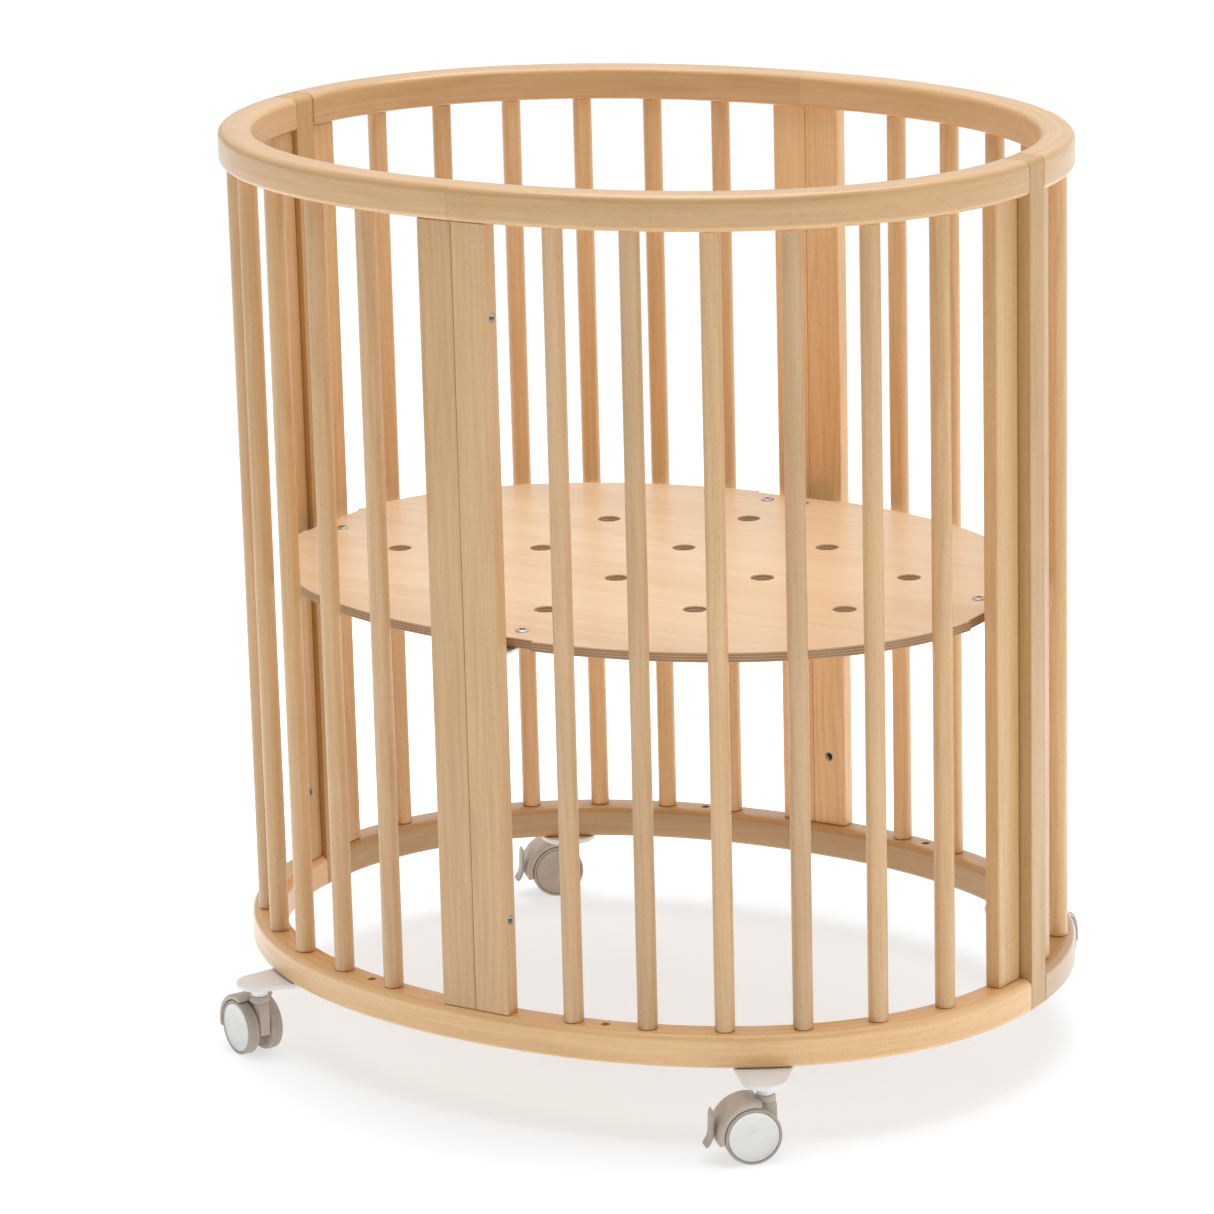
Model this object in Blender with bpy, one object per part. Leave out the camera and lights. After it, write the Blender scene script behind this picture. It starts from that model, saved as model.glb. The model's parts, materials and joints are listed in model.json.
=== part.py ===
"""Oval wooden baby crib on four casters, built in Blender as separate named sub-parts.

Metres, +Z up. The crib's long side runs along X and its short side along Y. The floor is z = 0
and the origin is under the crib's centre. The front of the crib faces -Y.
"""

import math

import bmesh
import bpy
from mathutils import Matrix, Vector

# ---------------------------------------------------------------- driving dimensions
LENGTH = 0.820
WIDTH = 0.653
HEIGHT = 0.870
OUTLINE_POWER = 2.13          # exponent of the oval: 2 is an ellipse, larger is fuller
GAP = 0.0003                  # air between two pieces that touch

RAIL_WIDTH = 0.032
RAIL_HEIGHT = 0.032
RAIL_TOP_RADIUS = 0.007
RAIL_BOTTOM_RADIUS = 0.0055
BOTTOM_RAIL_Z = 0.0745        # underside of the bottom rail
RAIL_STATIONS = 15            # cross-sections along one quarter of a rail
OUTLINE_SAMPLES = 600         # fine steps for measuring along the oval

POST_WIDTH = 0.028
BOARD_WIDTH = 0.0352
EDGE_BEVEL = 0.0015
SIDE_BOARD_THICKNESS = 0.017
SIDE_BOARD_SETBACK = 0.0045   # from the rail's outer face to the board's outer face
END_BOARD_THICKNESS = 0.015
END_BOARD_SETBACK = 0.0115
END_BOARD_TURN_DEG = 5.0      # the end boards turn to follow the oval

SLAT_RADIUS = 0.0092
SLAT_SIDES = 12
SLATS_PER_QUARTER = 6

BASE_TOP_Z = 0.4515
BASE_THICKNESS = 0.009
BASE_INSET = 0.041            # from the rail's outer face to the base's edge
BASE_NOTCH_DEPTH = 0.006
BASE_NOTCH_HALF_WIDTH = 0.046
BASE_OUTLINE_STEPS = 18
HOLE_RADIUS = 0.0105
HOLE_SIDES = 14
HOLE_PITCH_X = 0.122
HOLE_PITCH_Y = 0.123

BRACKET_THICKNESS = 0.0025
BRACKET_SHELF = 0.063         # how far the bracket's shelf reaches in from the boards
BRACKET_DROP = 0.034
SIDE_BRACKET_WIDTH = 0.056
END_BRACKET_WIDTH = 0.028

CASTER_X = 0.277
CASTER_Y = 0.276
CASTER_TRAIL = 0.0155         # from the swivel axis to the wheel's centre
PAD_THICKNESS = 0.005
PAD_STEM_RADIUS = 0.021
PAD_RAIL_RADIUS = 0.028
PAD_ARC_STEPS = 9
COLLAR_RADIUS = 0.008
COLLAR_SIDES = 20
TURNTABLE_TOP_Z = 0.0600
TURNTABLE_BOTTOM_Z = 0.0535
TURNTABLE_RADIUS = 0.0095
WHEEL_RADIUS = 0.0265
WHEEL_HALF_WIDTH = 0.0185
WHEEL_INNER_FACE = 0.0060
WHEEL_SIDES = 24
AXLE_RADIUS = 0.0040
BORE_RADIUS = 0.0043
YOKE_HALF_WIDTH = 0.0055
FENDER_INNER_RADIUS = 0.0273
FENDER_OUTER_RADIUS = 0.0320
FENDER_START_DEG = 74
FENDER_END_DEG = 200
FENDER_STEPS = 12
YOKE_FRONT = 0.0250           # front wall of the yoke, from the wheel's centre
YOKE_FRONT_LOW_Z = 0.0205
YOKE_CROWN_START_DEG = 80
YOKE_HUB_RADIUS = 0.012       # rounded lower edge of the yoke under the axle
YOKE_HUB_START_DEG = 235
YOKE_HUB_END_DEG = 330
BORE_SIDES = 20
TURNTABLE_SIDES = 24
TURNTABLE_SEAT = 0.002        # how far the turntable sinks into the yoke
LEVER_HALF_WIDTH = 0.0080
LEVER_THICKNESS = 0.0026
LEVER_PIVOT = (-0.0358, 0.0250)   # from the wheel's centre along the caster, above the floor

# Half of the twin wheel's section as (radius, distance from the middle plane).
WHEEL_SECTION = (
    (AXLE_RADIUS, WHEEL_INNER_FACE),
    (0.0235, WHEEL_INNER_FACE),
    (0.0257, WHEEL_INNER_FACE + 0.0008),
    (WHEEL_RADIUS, WHEEL_INNER_FACE + 0.0028),
    (WHEEL_RADIUS, WHEEL_HALF_WIDTH - 0.0032),
    (0.0257, WHEEL_HALF_WIDTH - 0.0010),
    (0.0240, WHEEL_HALF_WIDTH),
    (0.0228, WHEEL_HALF_WIDTH - 0.0006),
    (0.0, WHEEL_HALF_WIDTH - 0.0002),
)

# The lever's face towards the wheel as (along the caster, up, how much of the lever's
# thickness its outer face rises by there), from the pivot.
LEVER_FACE = (
    (-0.0006, 0.0225, -0.15),
    (0.0012, 0.0150, -0.1),
    (0.0022, 0.0060, 0.0),
    (0.0020, 0.0000, 0.1),
    (-0.0008, -0.0060, 0.4),
    (-0.0060, -0.0125, 0.6),
)

SEMI_X = LENGTH / 2
SEMI_Y = WIDTH / 2
TOP_RAIL_Z = HEIGHT - RAIL_HEIGHT
BOTTOM_RAIL_TOP_Z = BOTTOM_RAIL_Z + RAIL_HEIGHT
UPRIGHT_LOW = BOTTOM_RAIL_TOP_Z + GAP
UPRIGHT_HIGH = TOP_RAIL_Z - GAP
RAIL_END_Y = POST_WIDTH / 2 + GAP

# The four quarters of the oval, by the signs of x and y.
QUARTERS = {
    "front_right": (1, -1),
    "back_right": (1, 1),
    "back_left": (-1, 1),
    "front_left": (-1, -1),
}

# Where the round slats stand along each quarter's centre line: the first one's distance from
# the long side's middle and the spacing of the rest. Diagonally opposite quarters are alike.
SLAT_SPACING = {
    "front_right": (0.0945, 0.0704),
    "back_right": (0.1038, 0.0688),
    "back_left": (0.0945, 0.0704),
    "front_left": (0.1038, 0.0688),
}

# Each caster's quarter, the direction in degrees from its swivel axis to its wheel, and
# whether it has a brake lever.
CASTERS = {
    "front_right": (225.0, True),
    "front_left": (155.0, False),
    "back_left": (225.0, True),
    "back_right": (100.0, False),
}

COLOURS = {
    "rail_beech": ((0.74, 0.53, 0.35), 0.45, 0.0),
    "upright_beech": ((0.70, 0.49, 0.31), 0.48, 0.0),
    "base_plywood": ((0.86, 0.68, 0.50), 0.55, 0.0),
    "bracket_steel": ((0.62, 0.62, 0.63), 0.35, 1.0),
    "pad_plastic": ((0.92, 0.92, 0.91), 0.40, 0.0),
    "housing_plastic": ((0.50, 0.44, 0.38), 0.50, 0.0),
    "wheel_plastic": ((0.60, 0.55, 0.49), 0.50, 0.0),
    "lever_plastic": ((0.48, 0.43, 0.37), 0.50, 0.0),
}


# ---------------------------------------------------------------- scene and materials
def clear_scene():
    for item in list(bpy.data.objects):
        bpy.data.objects.remove(item, do_unlink=True)


def make_material(name, finish):
    colour, roughness, metallic = COLOURS[finish]
    material = bpy.data.materials.new(name + "_" + finish)
    material.use_nodes = True
    shader = material.node_tree.nodes["Principled BSDF"]
    shader.inputs["Base Color"].default_value = (*colour, 1.0)
    shader.inputs["Roughness"].default_value = roughness
    shader.inputs["Metallic"].default_value = metallic
    return material


def add_part(name, bm, finish, smooth_angle=None, parent=None):
    """Turn a bmesh into a named object with its own material."""
    bmesh.ops.remove_doubles(bm, verts=bm.verts, dist=1e-6)
    bmesh.ops.recalc_face_normals(bm, faces=bm.faces)
    mesh = bpy.data.meshes.new(name)
    bm.to_mesh(mesh)
    bm.free()
    part = bpy.data.objects.new(name, mesh)
    bpy.context.scene.collection.objects.link(part)
    mesh.materials.append(make_material(name, finish))
    if smooth_angle is not None:
        mesh.shade_smooth()
        mesh.set_sharp_from_angle(angle=math.radians(smooth_angle))
    if parent is not None:
        part.parent = parent
    return part


def add_empty(name, location, turn_deg=0.0, parent=None):
    empty = bpy.data.objects.new(name, None)
    empty.location = location
    empty.rotation_euler = (0.0, 0.0, math.radians(turn_deg))
    empty.empty_display_size = 0.02
    bpy.context.scene.collection.objects.link(empty)
    if parent is not None:
        empty.parent = parent
    return empty


# ---------------------------------------------------------------- the oval
def oval_point(t):
    """Point on the rail's outer face and its outward normal, for x, y >= 0.

    t runs from 0 at the middle of the long side to pi/2 at the short end.
    """
    s = math.sin(t)
    c = math.cos(t)
    x = SEMI_X * s ** (2 / OUTLINE_POWER)
    y = SEMI_Y * c ** (2 / OUTLINE_POWER)
    normal = Vector((
        (x / SEMI_X) ** (OUTLINE_POWER - 1) / SEMI_X,
        (y / SEMI_Y) ** (OUTLINE_POWER - 1) / SEMI_Y,
    ))
    return Vector((x, y)), normal.normalized()


def quarter_curve(inset):
    """Fine points of one quarter at an inset, with the length run so far: (point, normal, run)."""
    rows = []
    run = 0.0
    for step in range(OUTLINE_SAMPLES + 1):
        outer, normal = oval_point(math.pi / 2 * step / OUTLINE_SAMPLES)
        point = outer - normal * inset
        if rows:
            run += (point - rows[-1][0]).length
        rows.append((point, normal, run))
    return rows


def at_run(curve, run):
    """Point and normal at a length along the quarter."""
    for low, high in zip(curve, curve[1:]):
        if high[2] >= run:
            part = (run - low[2]) / max(high[2] - low[2], 1e-12)
            normal = low[1].lerp(high[1], part).normalized()
            return low[0].lerp(high[0], part), normal
    return curve[-1][0], curve[-1][1]


# ---------------------------------------------------------------- general shapes
def rounded_profile(width, height, top_radius, bottom_radius, steps=2):
    """Corners of a rail's cross-section as (inset from the outer face, height) pairs."""
    corners = (
        (bottom_radius, bottom_radius, bottom_radius, 180),
        (width - bottom_radius, bottom_radius, bottom_radius, 270),
        (width - top_radius, height - top_radius, top_radius, 0),
        (top_radius, height - top_radius, top_radius, 90),
    )
    points = []
    for centre_in, centre_up, radius, start in corners:
        for step in range(steps + 1):
            angle = math.radians(start + 90 * step / steps)
            points.append((
                centre_in + radius * math.cos(angle),
                centre_up + radius * math.sin(angle),
            ))
    return points


def loft(rings):
    """Closed body through a list of rings of points, with flat ends."""
    bm = bmesh.new()
    loops = [[bm.verts.new(point) for point in ring] for ring in rings]
    for near, far in zip(loops, loops[1:]):
        for index in range(len(near)):
            after = (index + 1) % len(near)
            bm.faces.new((near[index], near[after], far[after], far[index]))
    bm.faces.new(loops[0])
    bm.faces.new(reversed(loops[-1]))
    return bm


def beveled_box(low, high, bevel):
    bm = bmesh.new()
    low = Vector(low)
    high = Vector(high)
    size = high - low
    place = Matrix.Translation((low + high) / 2) @ Matrix.Diagonal((*size, 1.0))
    bmesh.ops.create_cube(bm, size=1.0, matrix=place)
    bmesh.ops.bevel(bm, geom=bm.edges[:], offset=bevel, segments=1, affect="EDGES")
    return bm


def circle_points(centre, radius, sides, start_deg=0.0):
    points = []
    for side in range(sides):
        angle = math.radians(start_deg) + 2 * math.pi * side / sides
        points.append(Vector((centre[0] + radius * math.cos(angle),
                              centre[1] + radius * math.sin(angle))))
    return points


def plate_with_holes(outline, holes, low_z, high_z):
    """Flat plate with round holes: the outline and the holes are lists of 2-D points."""
    bm = bmesh.new()
    edges = []
    for loop in [outline] + holes:
        verts = [bm.verts.new((point[0], point[1], low_z)) for point in loop]
        for index, vert in enumerate(verts):
            edges.append(bm.edges.new((vert, verts[(index + 1) % len(verts)])))
    bmesh.ops.triangle_fill(bm, edges=edges, use_beauty=True)
    grown = bmesh.ops.extrude_face_region(bm, geom=bm.faces[:])
    lifted = [item for item in grown["geom"] if isinstance(item, bmesh.types.BMVert)]
    bmesh.ops.translate(bm, verts=lifted, vec=(0.0, 0.0, high_z - low_z))
    return bm


def side_view_body(outline, holes, half_width):
    """Body drawn in side view as (x, z) points and given a width along Y."""
    bm = plate_with_holes(outline, holes, -half_width, half_width)
    bmesh.ops.rotate(bm, verts=bm.verts, matrix=Matrix.Rotation(math.pi / 2, 3, "X"))
    return bm


def lathe(profile, sides):
    """Body turned about the Y axis from (radius, y) points that start and end on the axis."""
    bm = bmesh.new()
    rings = []
    for radius, y in profile:
        if radius == 0.0:
            rings.append([bm.verts.new((0.0, y, 0.0))])
            continue
        ring = []
        for side in range(sides):
            angle = 2 * math.pi * side / sides
            ring.append(bm.verts.new((radius * math.cos(angle), y, radius * math.sin(angle))))
        rings.append(ring)
    for near, far in zip(rings, rings[1:]):
        for side in range(sides):
            after = (side + 1) % sides
            if len(near) == 1:
                bm.faces.new((near[0], far[after], far[side]))
            elif len(far) == 1:
                bm.faces.new((near[side], near[after], far[0]))
            else:
                bm.faces.new((near[side], near[after], far[after], far[side]))
    return bm


# ---------------------------------------------------------------- rails
def rail_stations():
    """Stations of one quarter rail from the long side's middle to the end post."""
    curve = quarter_curve(0.0)
    end_run = max(row[2] for row in curve if row[0].y >= RAIL_END_Y)
    return [at_run(curve, end_run * step / RAIL_STATIONS) for step in range(RAIL_STATIONS + 1)]


def rail_ring(station, sign_x, sign_y, profile, low_z, is_end, is_middle, seam):
    """One cross-section of a rail, squared up where the rail is cut."""
    point, normal = station
    ring = []
    for inset, up in profile:
        place = point - normal * inset
        if is_end:
            place = Vector((point.x - inset, RAIL_END_Y))
        if is_middle:
            place = Vector((seam, point.y - inset))
        ring.append(Vector((place.x * sign_x, place.y * sign_y, low_z + up)))
    return ring


def quarter_rings(quarter, profile, low_z, seam):
    sign_x, sign_y = QUARTERS[quarter]
    stations = rail_stations()
    last = len(stations) - 1
    return [rail_ring(station, sign_x, sign_y, profile, low_z, index == last, index == 0, seam)
            for index, station in enumerate(stations)]


def make_top_rails():
    profile = rounded_profile(RAIL_WIDTH, RAIL_HEIGHT, RAIL_TOP_RADIUS, RAIL_BOTTOM_RADIUS)
    for quarter in QUARTERS:
        rings = quarter_rings(quarter, profile, TOP_RAIL_Z, GAP / 2)
        add_part("top_rail_" + quarter, loft(rings), "rail_beech", smooth_angle=35)


def make_bottom_rails():
    profile = rounded_profile(RAIL_WIDTH, RAIL_HEIGHT, RAIL_TOP_RADIUS, RAIL_BOTTOM_RADIUS)
    for side in ("front", "back"):
        right = quarter_rings(side + "_right", profile, BOTTOM_RAIL_Z, 0.0)
        left = quarter_rings(side + "_left", profile, BOTTOM_RAIL_Z, 0.0)
        rings = list(reversed(left)) + right[1:]
        add_part("bottom_rail_" + side, loft(rings), "rail_beech", smooth_angle=35)


# ---------------------------------------------------------------- uprights
def make_end_posts():
    """The two full-height posts at the short ends, flush with both rails."""
    profile = rounded_profile(RAIL_WIDTH, HEIGHT - BOTTOM_RAIL_Z, RAIL_TOP_RADIUS,
                              RAIL_BOTTOM_RADIUS)
    for name, sign_x in (("right", 1), ("left", -1)):
        rings = []
        for y in (-POST_WIDTH / 2, POST_WIDTH / 2):
            rings.append([Vector(((SEMI_X - inset) * sign_x, y, BOTTOM_RAIL_Z + up))
                          for inset, up in profile])
        add_part("end_post_" + name, loft(rings), "upright_beech", smooth_angle=35)


def end_board_place(sign_x, sign_y):
    """Matrix from an end board's own space to the crib's.

    In the board's space its outer face is x = 0, its post side is y = 0 and it spans
    x from -END_BOARD_THICKNESS to 0. It turns until its inner edge meets the post.
    """
    turn = math.radians(END_BOARD_TURN_DEG)
    corner = Vector((SEMI_X - END_BOARD_SETBACK,
                     RAIL_END_Y + END_BOARD_THICKNESS * math.sin(turn), 0.0))
    flip = Matrix.Diagonal((sign_x, sign_y, 1.0, 1.0))
    return flip @ Matrix.Translation(corner) @ Matrix.Rotation(turn, 4, "Z")


def make_boards():
    """Two flat boards at every joint: one beside each seam, one beside each post face."""
    for quarter, (sign_x, sign_y) in QUARTERS.items():
        outer = SEMI_Y - SIDE_BOARD_SETBACK
        bm = beveled_box((GAP / 2, outer - SIDE_BOARD_THICKNESS, UPRIGHT_LOW),
                         (GAP / 2 + BOARD_WIDTH, outer, UPRIGHT_HIGH), EDGE_BEVEL)
        bmesh.ops.scale(bm, verts=bm.verts, vec=(sign_x, sign_y, 1.0))
        add_part("side_board_" + quarter, bm, "upright_beech")

        bm = beveled_box((-END_BOARD_THICKNESS, 0.0, UPRIGHT_LOW),
                         (0.0, BOARD_WIDTH, UPRIGHT_HIGH), EDGE_BEVEL)
        bmesh.ops.transform(bm, verts=bm.verts, matrix=end_board_place(sign_x, sign_y))
        add_part("end_board_" + quarter, bm, "upright_beech")


def make_slats():
    curve = quarter_curve(RAIL_WIDTH / 2)
    height = UPRIGHT_HIGH - UPRIGHT_LOW
    for quarter, (sign_x, sign_y) in QUARTERS.items():
        first_at, pitch = SLAT_SPACING[quarter]
        for number in range(SLATS_PER_QUARTER):
            point, _ = at_run(curve, first_at + number * pitch)
            bm = bmesh.new()
            bmesh.ops.create_cone(bm, cap_ends=True, segments=SLAT_SIDES, radius1=SLAT_RADIUS,
                                  radius2=SLAT_RADIUS, depth=height)
            slat = add_part("slat_%s_%d" % (quarter, number + 1), bm, "upright_beech",
                            smooth_angle=40)
            slat.location = (point.x * sign_x, point.y * sign_y, UPRIGHT_LOW + height / 2)


# ---------------------------------------------------------------- mattress base
def base_quarter():
    """Outline of one quarter of the base with half a notch at each end."""
    curve = quarter_curve(BASE_INSET)
    notch_y = SEMI_Y - BASE_INSET - BASE_NOTCH_DEPTH
    notch_x = SEMI_X - BASE_INSET - BASE_NOTCH_DEPTH
    start_run = min(row[2] for row in curve if row[0].x >= BASE_NOTCH_HALF_WIDTH)
    end_run = max(row[2] for row in curve if row[0].y >= BASE_NOTCH_HALF_WIDTH)
    points = [Vector((0.0, notch_y)), Vector((BASE_NOTCH_HALF_WIDTH, notch_y))]
    for step in range(BASE_OUTLINE_STEPS + 1):
        run = start_run + (end_run - start_run) * step / BASE_OUTLINE_STEPS
        points.append(at_run(curve, run)[0])
    points += [Vector((notch_x, BASE_NOTCH_HALF_WIDTH)), Vector((notch_x, 0.0))]
    return points


def make_base():
    quarter = base_quarter()
    back_right = quarter[:-1]
    front_right = [Vector((point.x, -point.y)) for point in reversed(quarter)][:-1]
    front_left = [Vector((-point.x, -point.y)) for point in quarter][:-1]
    back_left = [Vector((-point.x, point.y)) for point in reversed(quarter)][:-1]
    outline = back_right + front_right + front_left + back_left
    holes = []
    for column in range(-2, 3):
        rows = (-1.5, -0.5, 0.5, 1.5) if column == 0 else (-1, 0, 1)
        if abs(column) == 2:
            rows = (-0.5, 0.5)
        for row in rows:
            centre = (column * HOLE_PITCH_X, row * HOLE_PITCH_Y)
            holes.append(circle_points(centre, HOLE_RADIUS, HOLE_SIDES))
    bm = plate_with_holes(outline, holes, BASE_TOP_Z - BASE_THICKNESS, BASE_TOP_Z)
    add_part("mattress_base", bm, "base_plywood")


def bracket_rings(width):
    """The steel angle's two ends, from the board's face as (inwards, along it, height)."""
    shelf = BASE_TOP_Z - BASE_THICKNESS - GAP
    section = (
        (0.0, shelf),
        (BRACKET_SHELF, shelf),
        (BRACKET_SHELF, shelf - BRACKET_THICKNESS),
        (BRACKET_THICKNESS, shelf - BRACKET_THICKNESS),
        (BRACKET_THICKNESS, shelf - BRACKET_DROP),
        (0.0, shelf - BRACKET_DROP),
    )
    return [[Vector((inwards, along, z)) for inwards, z in section]
            for along in (-width / 2, width / 2)]


def make_brackets():
    """Steel angle at each joint: its wall stands on the boards, its shelf is under the base."""
    wall = SEMI_Y - SIDE_BOARD_SETBACK - SIDE_BOARD_THICKNESS - GAP
    for name, sign_y in (("front", -1), ("back", 1)):
        rings = [[Vector((point.y, (wall - point.x) * sign_y, point.z)) for point in ring]
                 for ring in bracket_rings(SIDE_BRACKET_WIDTH)]
        add_part("base_bracket_" + name, loft(rings), "bracket_steel")
    for name, sign in (("right", 1), ("left", -1)):
        place = end_board_place(sign, sign)
        rings = [[place @ Vector((-END_BOARD_THICKNESS - GAP - point.x,
                                  BOARD_WIDTH / 2 + point.y, point.z)) for point in ring]
                 for ring in bracket_rings(END_BRACKET_WIDTH)]
        add_part("base_bracket_" + name, loft(rings), "bracket_steel")


# ---------------------------------------------------------------- casters
def pad_outline(stem, rail_centre):
    """Tapered pad round two circles: one at the swivel axis, one under the rail."""
    away = stem - rail_centre
    heading = math.atan2(away.y, away.x)
    lean = math.asin((PAD_RAIL_RADIUS - PAD_STEM_RADIUS) / away.length)
    half_turn = math.pi / 2 - lean
    points = []
    for step in range(PAD_ARC_STEPS + 1):
        angle = heading - half_turn + 2 * half_turn * step / PAD_ARC_STEPS
        points.append(stem + PAD_STEM_RADIUS * Vector((math.cos(angle), math.sin(angle))))
    back_turn = math.pi - half_turn
    for step in range(PAD_ARC_STEPS + 1):
        angle = heading + half_turn + 2 * back_turn * step / PAD_ARC_STEPS
        points.append(rail_centre
                      + PAD_RAIL_RADIUS * Vector((math.cos(angle), math.sin(angle))))
    return points


def make_pad(quarter, stem):
    """White mounting pad under the bottom rail with the collar that holds the swivel pin."""
    sign_x, sign_y = QUARTERS[quarter]
    curve = quarter_curve(RAIL_WIDTH / 2)
    corner = Vector((CASTER_X, CASTER_Y))
    nearest = min(curve, key=lambda row: (row[0] - corner).length)[0]
    rail_centre = Vector((nearest.x * sign_x, nearest.y * sign_y))
    outline = pad_outline(stem, rail_centre)
    collar = circle_points(stem, COLLAR_RADIUS, COLLAR_SIDES)
    high = BOTTOM_RAIL_Z - GAP
    low = high - PAD_THICKNESS

    bm = bmesh.new()
    edges = []
    loops = []
    for loop in (outline, collar):
        verts = [bm.verts.new((point.x, point.y, low)) for point in loop]
        loops.append(verts)
        for index, vert in enumerate(verts):
            edges.append(bm.edges.new((vert, verts[(index + 1) % len(verts)])))
    bmesh.ops.triangle_fill(bm, edges=edges, use_beauty=True)
    grow_wall(bm, loops[0], high)
    grow_wall(bm, loops[1], TURNTABLE_TOP_Z + GAP)
    add_part("caster_pad_" + quarter, bm, "pad_plastic", smooth_angle=40)


def grow_wall(bm, loop, z):
    """Raise or lower a loop to a height and close it with one face."""
    moved = [bm.verts.new((vert.co.x, vert.co.y, z)) for vert in loop]
    for index in range(len(loop)):
        after = (index + 1) % len(loop)
        bm.faces.new((loop[index], loop[after], moved[after], moved[index]))
    bm.faces.new(moved)


def arc_points(centre, radius, start_deg, end_deg, steps):
    points = []
    for step in range(steps + 1):
        angle = math.radians(start_deg + (end_deg - start_deg) * step / steps)
        points.append((centre[0] + radius * math.cos(angle),
                       centre[1] + radius * math.sin(angle)))
    return points


def add_cutter(name, bm, parent, host, operation):
    """Helper solid for a Boolean on the host. It isn't a part of the crib."""
    bmesh.ops.recalc_face_normals(bm, faces=bm.faces)
    mesh = bpy.data.meshes.new(name)
    bm.to_mesh(mesh)
    bm.free()
    cutter = bpy.data.objects.new(name, mesh)
    bpy.context.scene.collection.objects.link(cutter)
    cutter.parent = parent
    cutter.hide_render = True
    cutter.display_type = "WIRE"
    modifier = host.modifiers.new(name, "BOOLEAN")
    modifier.operation = operation
    modifier.solver = "EXACT"
    modifier.object = cutter


def make_housing(quarter, swivel):
    """Swivel housing: a yoke between the wheel discs, a fender over them and a turntable.

    In the caster's own space +X points from the wheel's centre to the swivel axis, which is
    the origin, and the wheel's centre is at (-CASTER_TRAIL, 0, WHEEL_RADIUS).
    """
    hub = (-CASTER_TRAIL, WHEEL_RADIUS)
    front = -CASTER_TRAIL + YOKE_FRONT
    crown = (FENDER_INNER_RADIUS + FENDER_OUTER_RADIUS) / 2
    yoke = [
        (front, YOKE_FRONT_LOW_Z),
        (front, TURNTABLE_BOTTOM_Z + TURNTABLE_SEAT),
        (0.0, hub[1] + crown),
    ]
    yoke += arc_points(hub, crown, YOKE_CROWN_START_DEG, FENDER_END_DEG - 4, FENDER_STEPS)
    yoke += arc_points(hub, YOKE_HUB_RADIUS, YOKE_HUB_START_DEG, YOKE_HUB_END_DEG, 5)
    bore = [circle_points(hub, BORE_RADIUS, BORE_SIDES)]
    housing = add_part("caster_housing_" + quarter,
                       side_view_body(yoke, bore, YOKE_HALF_WIDTH),
                       "housing_plastic", smooth_angle=35, parent=swivel)

    band = arc_points(hub, FENDER_OUTER_RADIUS, FENDER_START_DEG, FENDER_END_DEG, FENDER_STEPS)
    band += arc_points(hub, FENDER_INNER_RADIUS, FENDER_END_DEG, FENDER_START_DEG, FENDER_STEPS)
    fender = side_view_body(band, [], WHEEL_HALF_WIDTH)
    add_cutter("cutter_fender_" + quarter, fender, swivel, housing, "UNION")

    turntable = bmesh.new()
    middle = (TURNTABLE_TOP_Z + TURNTABLE_BOTTOM_Z) / 2
    bmesh.ops.create_cone(turntable, cap_ends=True, segments=TURNTABLE_SIDES,
                          radius1=TURNTABLE_RADIUS,
                          radius2=TURNTABLE_RADIUS,
                          depth=TURNTABLE_TOP_Z - TURNTABLE_BOTTOM_Z,
                          matrix=Matrix.Translation((0.0, 0.0, middle)))
    add_cutter("cutter_turntable_" + quarter, turntable, swivel, housing, "UNION")


def make_wheel(quarter, swivel):
    """Twin wheel: two discs on one axle, with its origin on the axle's axis."""
    half = list(WHEEL_SECTION)
    profile = [(radius, -y) for radius, y in reversed(half)] + half
    axle = add_empty("axle_" + quarter, (-CASTER_TRAIL, 0.0, WHEEL_RADIUS), parent=swivel)
    add_part("caster_wheel_" + quarter, lathe(profile, WHEEL_SIDES), "wheel_plastic",
             smooth_angle=35, parent=axle)


def make_lever(quarter, swivel):
    """Brake lever: a curved foot plate that rocks on a pin behind the fender."""
    pivot = Vector((LEVER_PIVOT[0] - CASTER_TRAIL, 0.0, LEVER_PIVOT[1]))
    inner = [(x, z) for x, z, _ in LEVER_FACE]
    outer = [(x - LEVER_THICKNESS, z + LEVER_THICKNESS * rise)
             for x, z, rise in reversed(LEVER_FACE)]
    hinge = add_empty("lever_pin_" + quarter, pivot, parent=swivel)
    add_part("brake_lever_" + quarter, side_view_body(inner + outer, [], LEVER_HALF_WIDTH),
             "lever_plastic", smooth_angle=45, parent=hinge)


def make_casters():
    for quarter, (wheel_deg, has_lever) in CASTERS.items():
        sign_x, sign_y = QUARTERS[quarter]
        stem = Vector((CASTER_X * sign_x, CASTER_Y * sign_y))
        make_pad(quarter, stem)
        swivel = add_empty("swivel_" + quarter, (stem.x, stem.y, 0.0), wheel_deg + 180.0)
        make_housing(quarter, swivel)
        make_wheel(quarter, swivel)
        if has_lever:
            make_lever(quarter, swivel)


def main():
    clear_scene()
    make_top_rails()
    make_bottom_rails()
    make_end_posts()
    make_boards()
    make_slats()
    make_base()
    make_brackets()
    make_casters()


main()
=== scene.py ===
import json
import math
import random

import bmesh
import bpy
import numpy as np
from mathutils import Matrix, Vector


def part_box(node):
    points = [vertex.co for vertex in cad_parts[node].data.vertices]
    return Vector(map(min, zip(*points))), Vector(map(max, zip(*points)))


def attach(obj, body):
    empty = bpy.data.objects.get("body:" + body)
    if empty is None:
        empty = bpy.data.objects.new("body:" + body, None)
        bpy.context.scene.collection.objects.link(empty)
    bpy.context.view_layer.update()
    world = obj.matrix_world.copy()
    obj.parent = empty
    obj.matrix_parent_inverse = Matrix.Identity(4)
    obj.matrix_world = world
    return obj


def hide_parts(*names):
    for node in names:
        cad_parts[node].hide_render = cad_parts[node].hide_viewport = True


# Visual model of an oval wooden baby crib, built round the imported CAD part.
# Metres, +Z up. The crib's long side runs along X and its front faces -Y.

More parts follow.
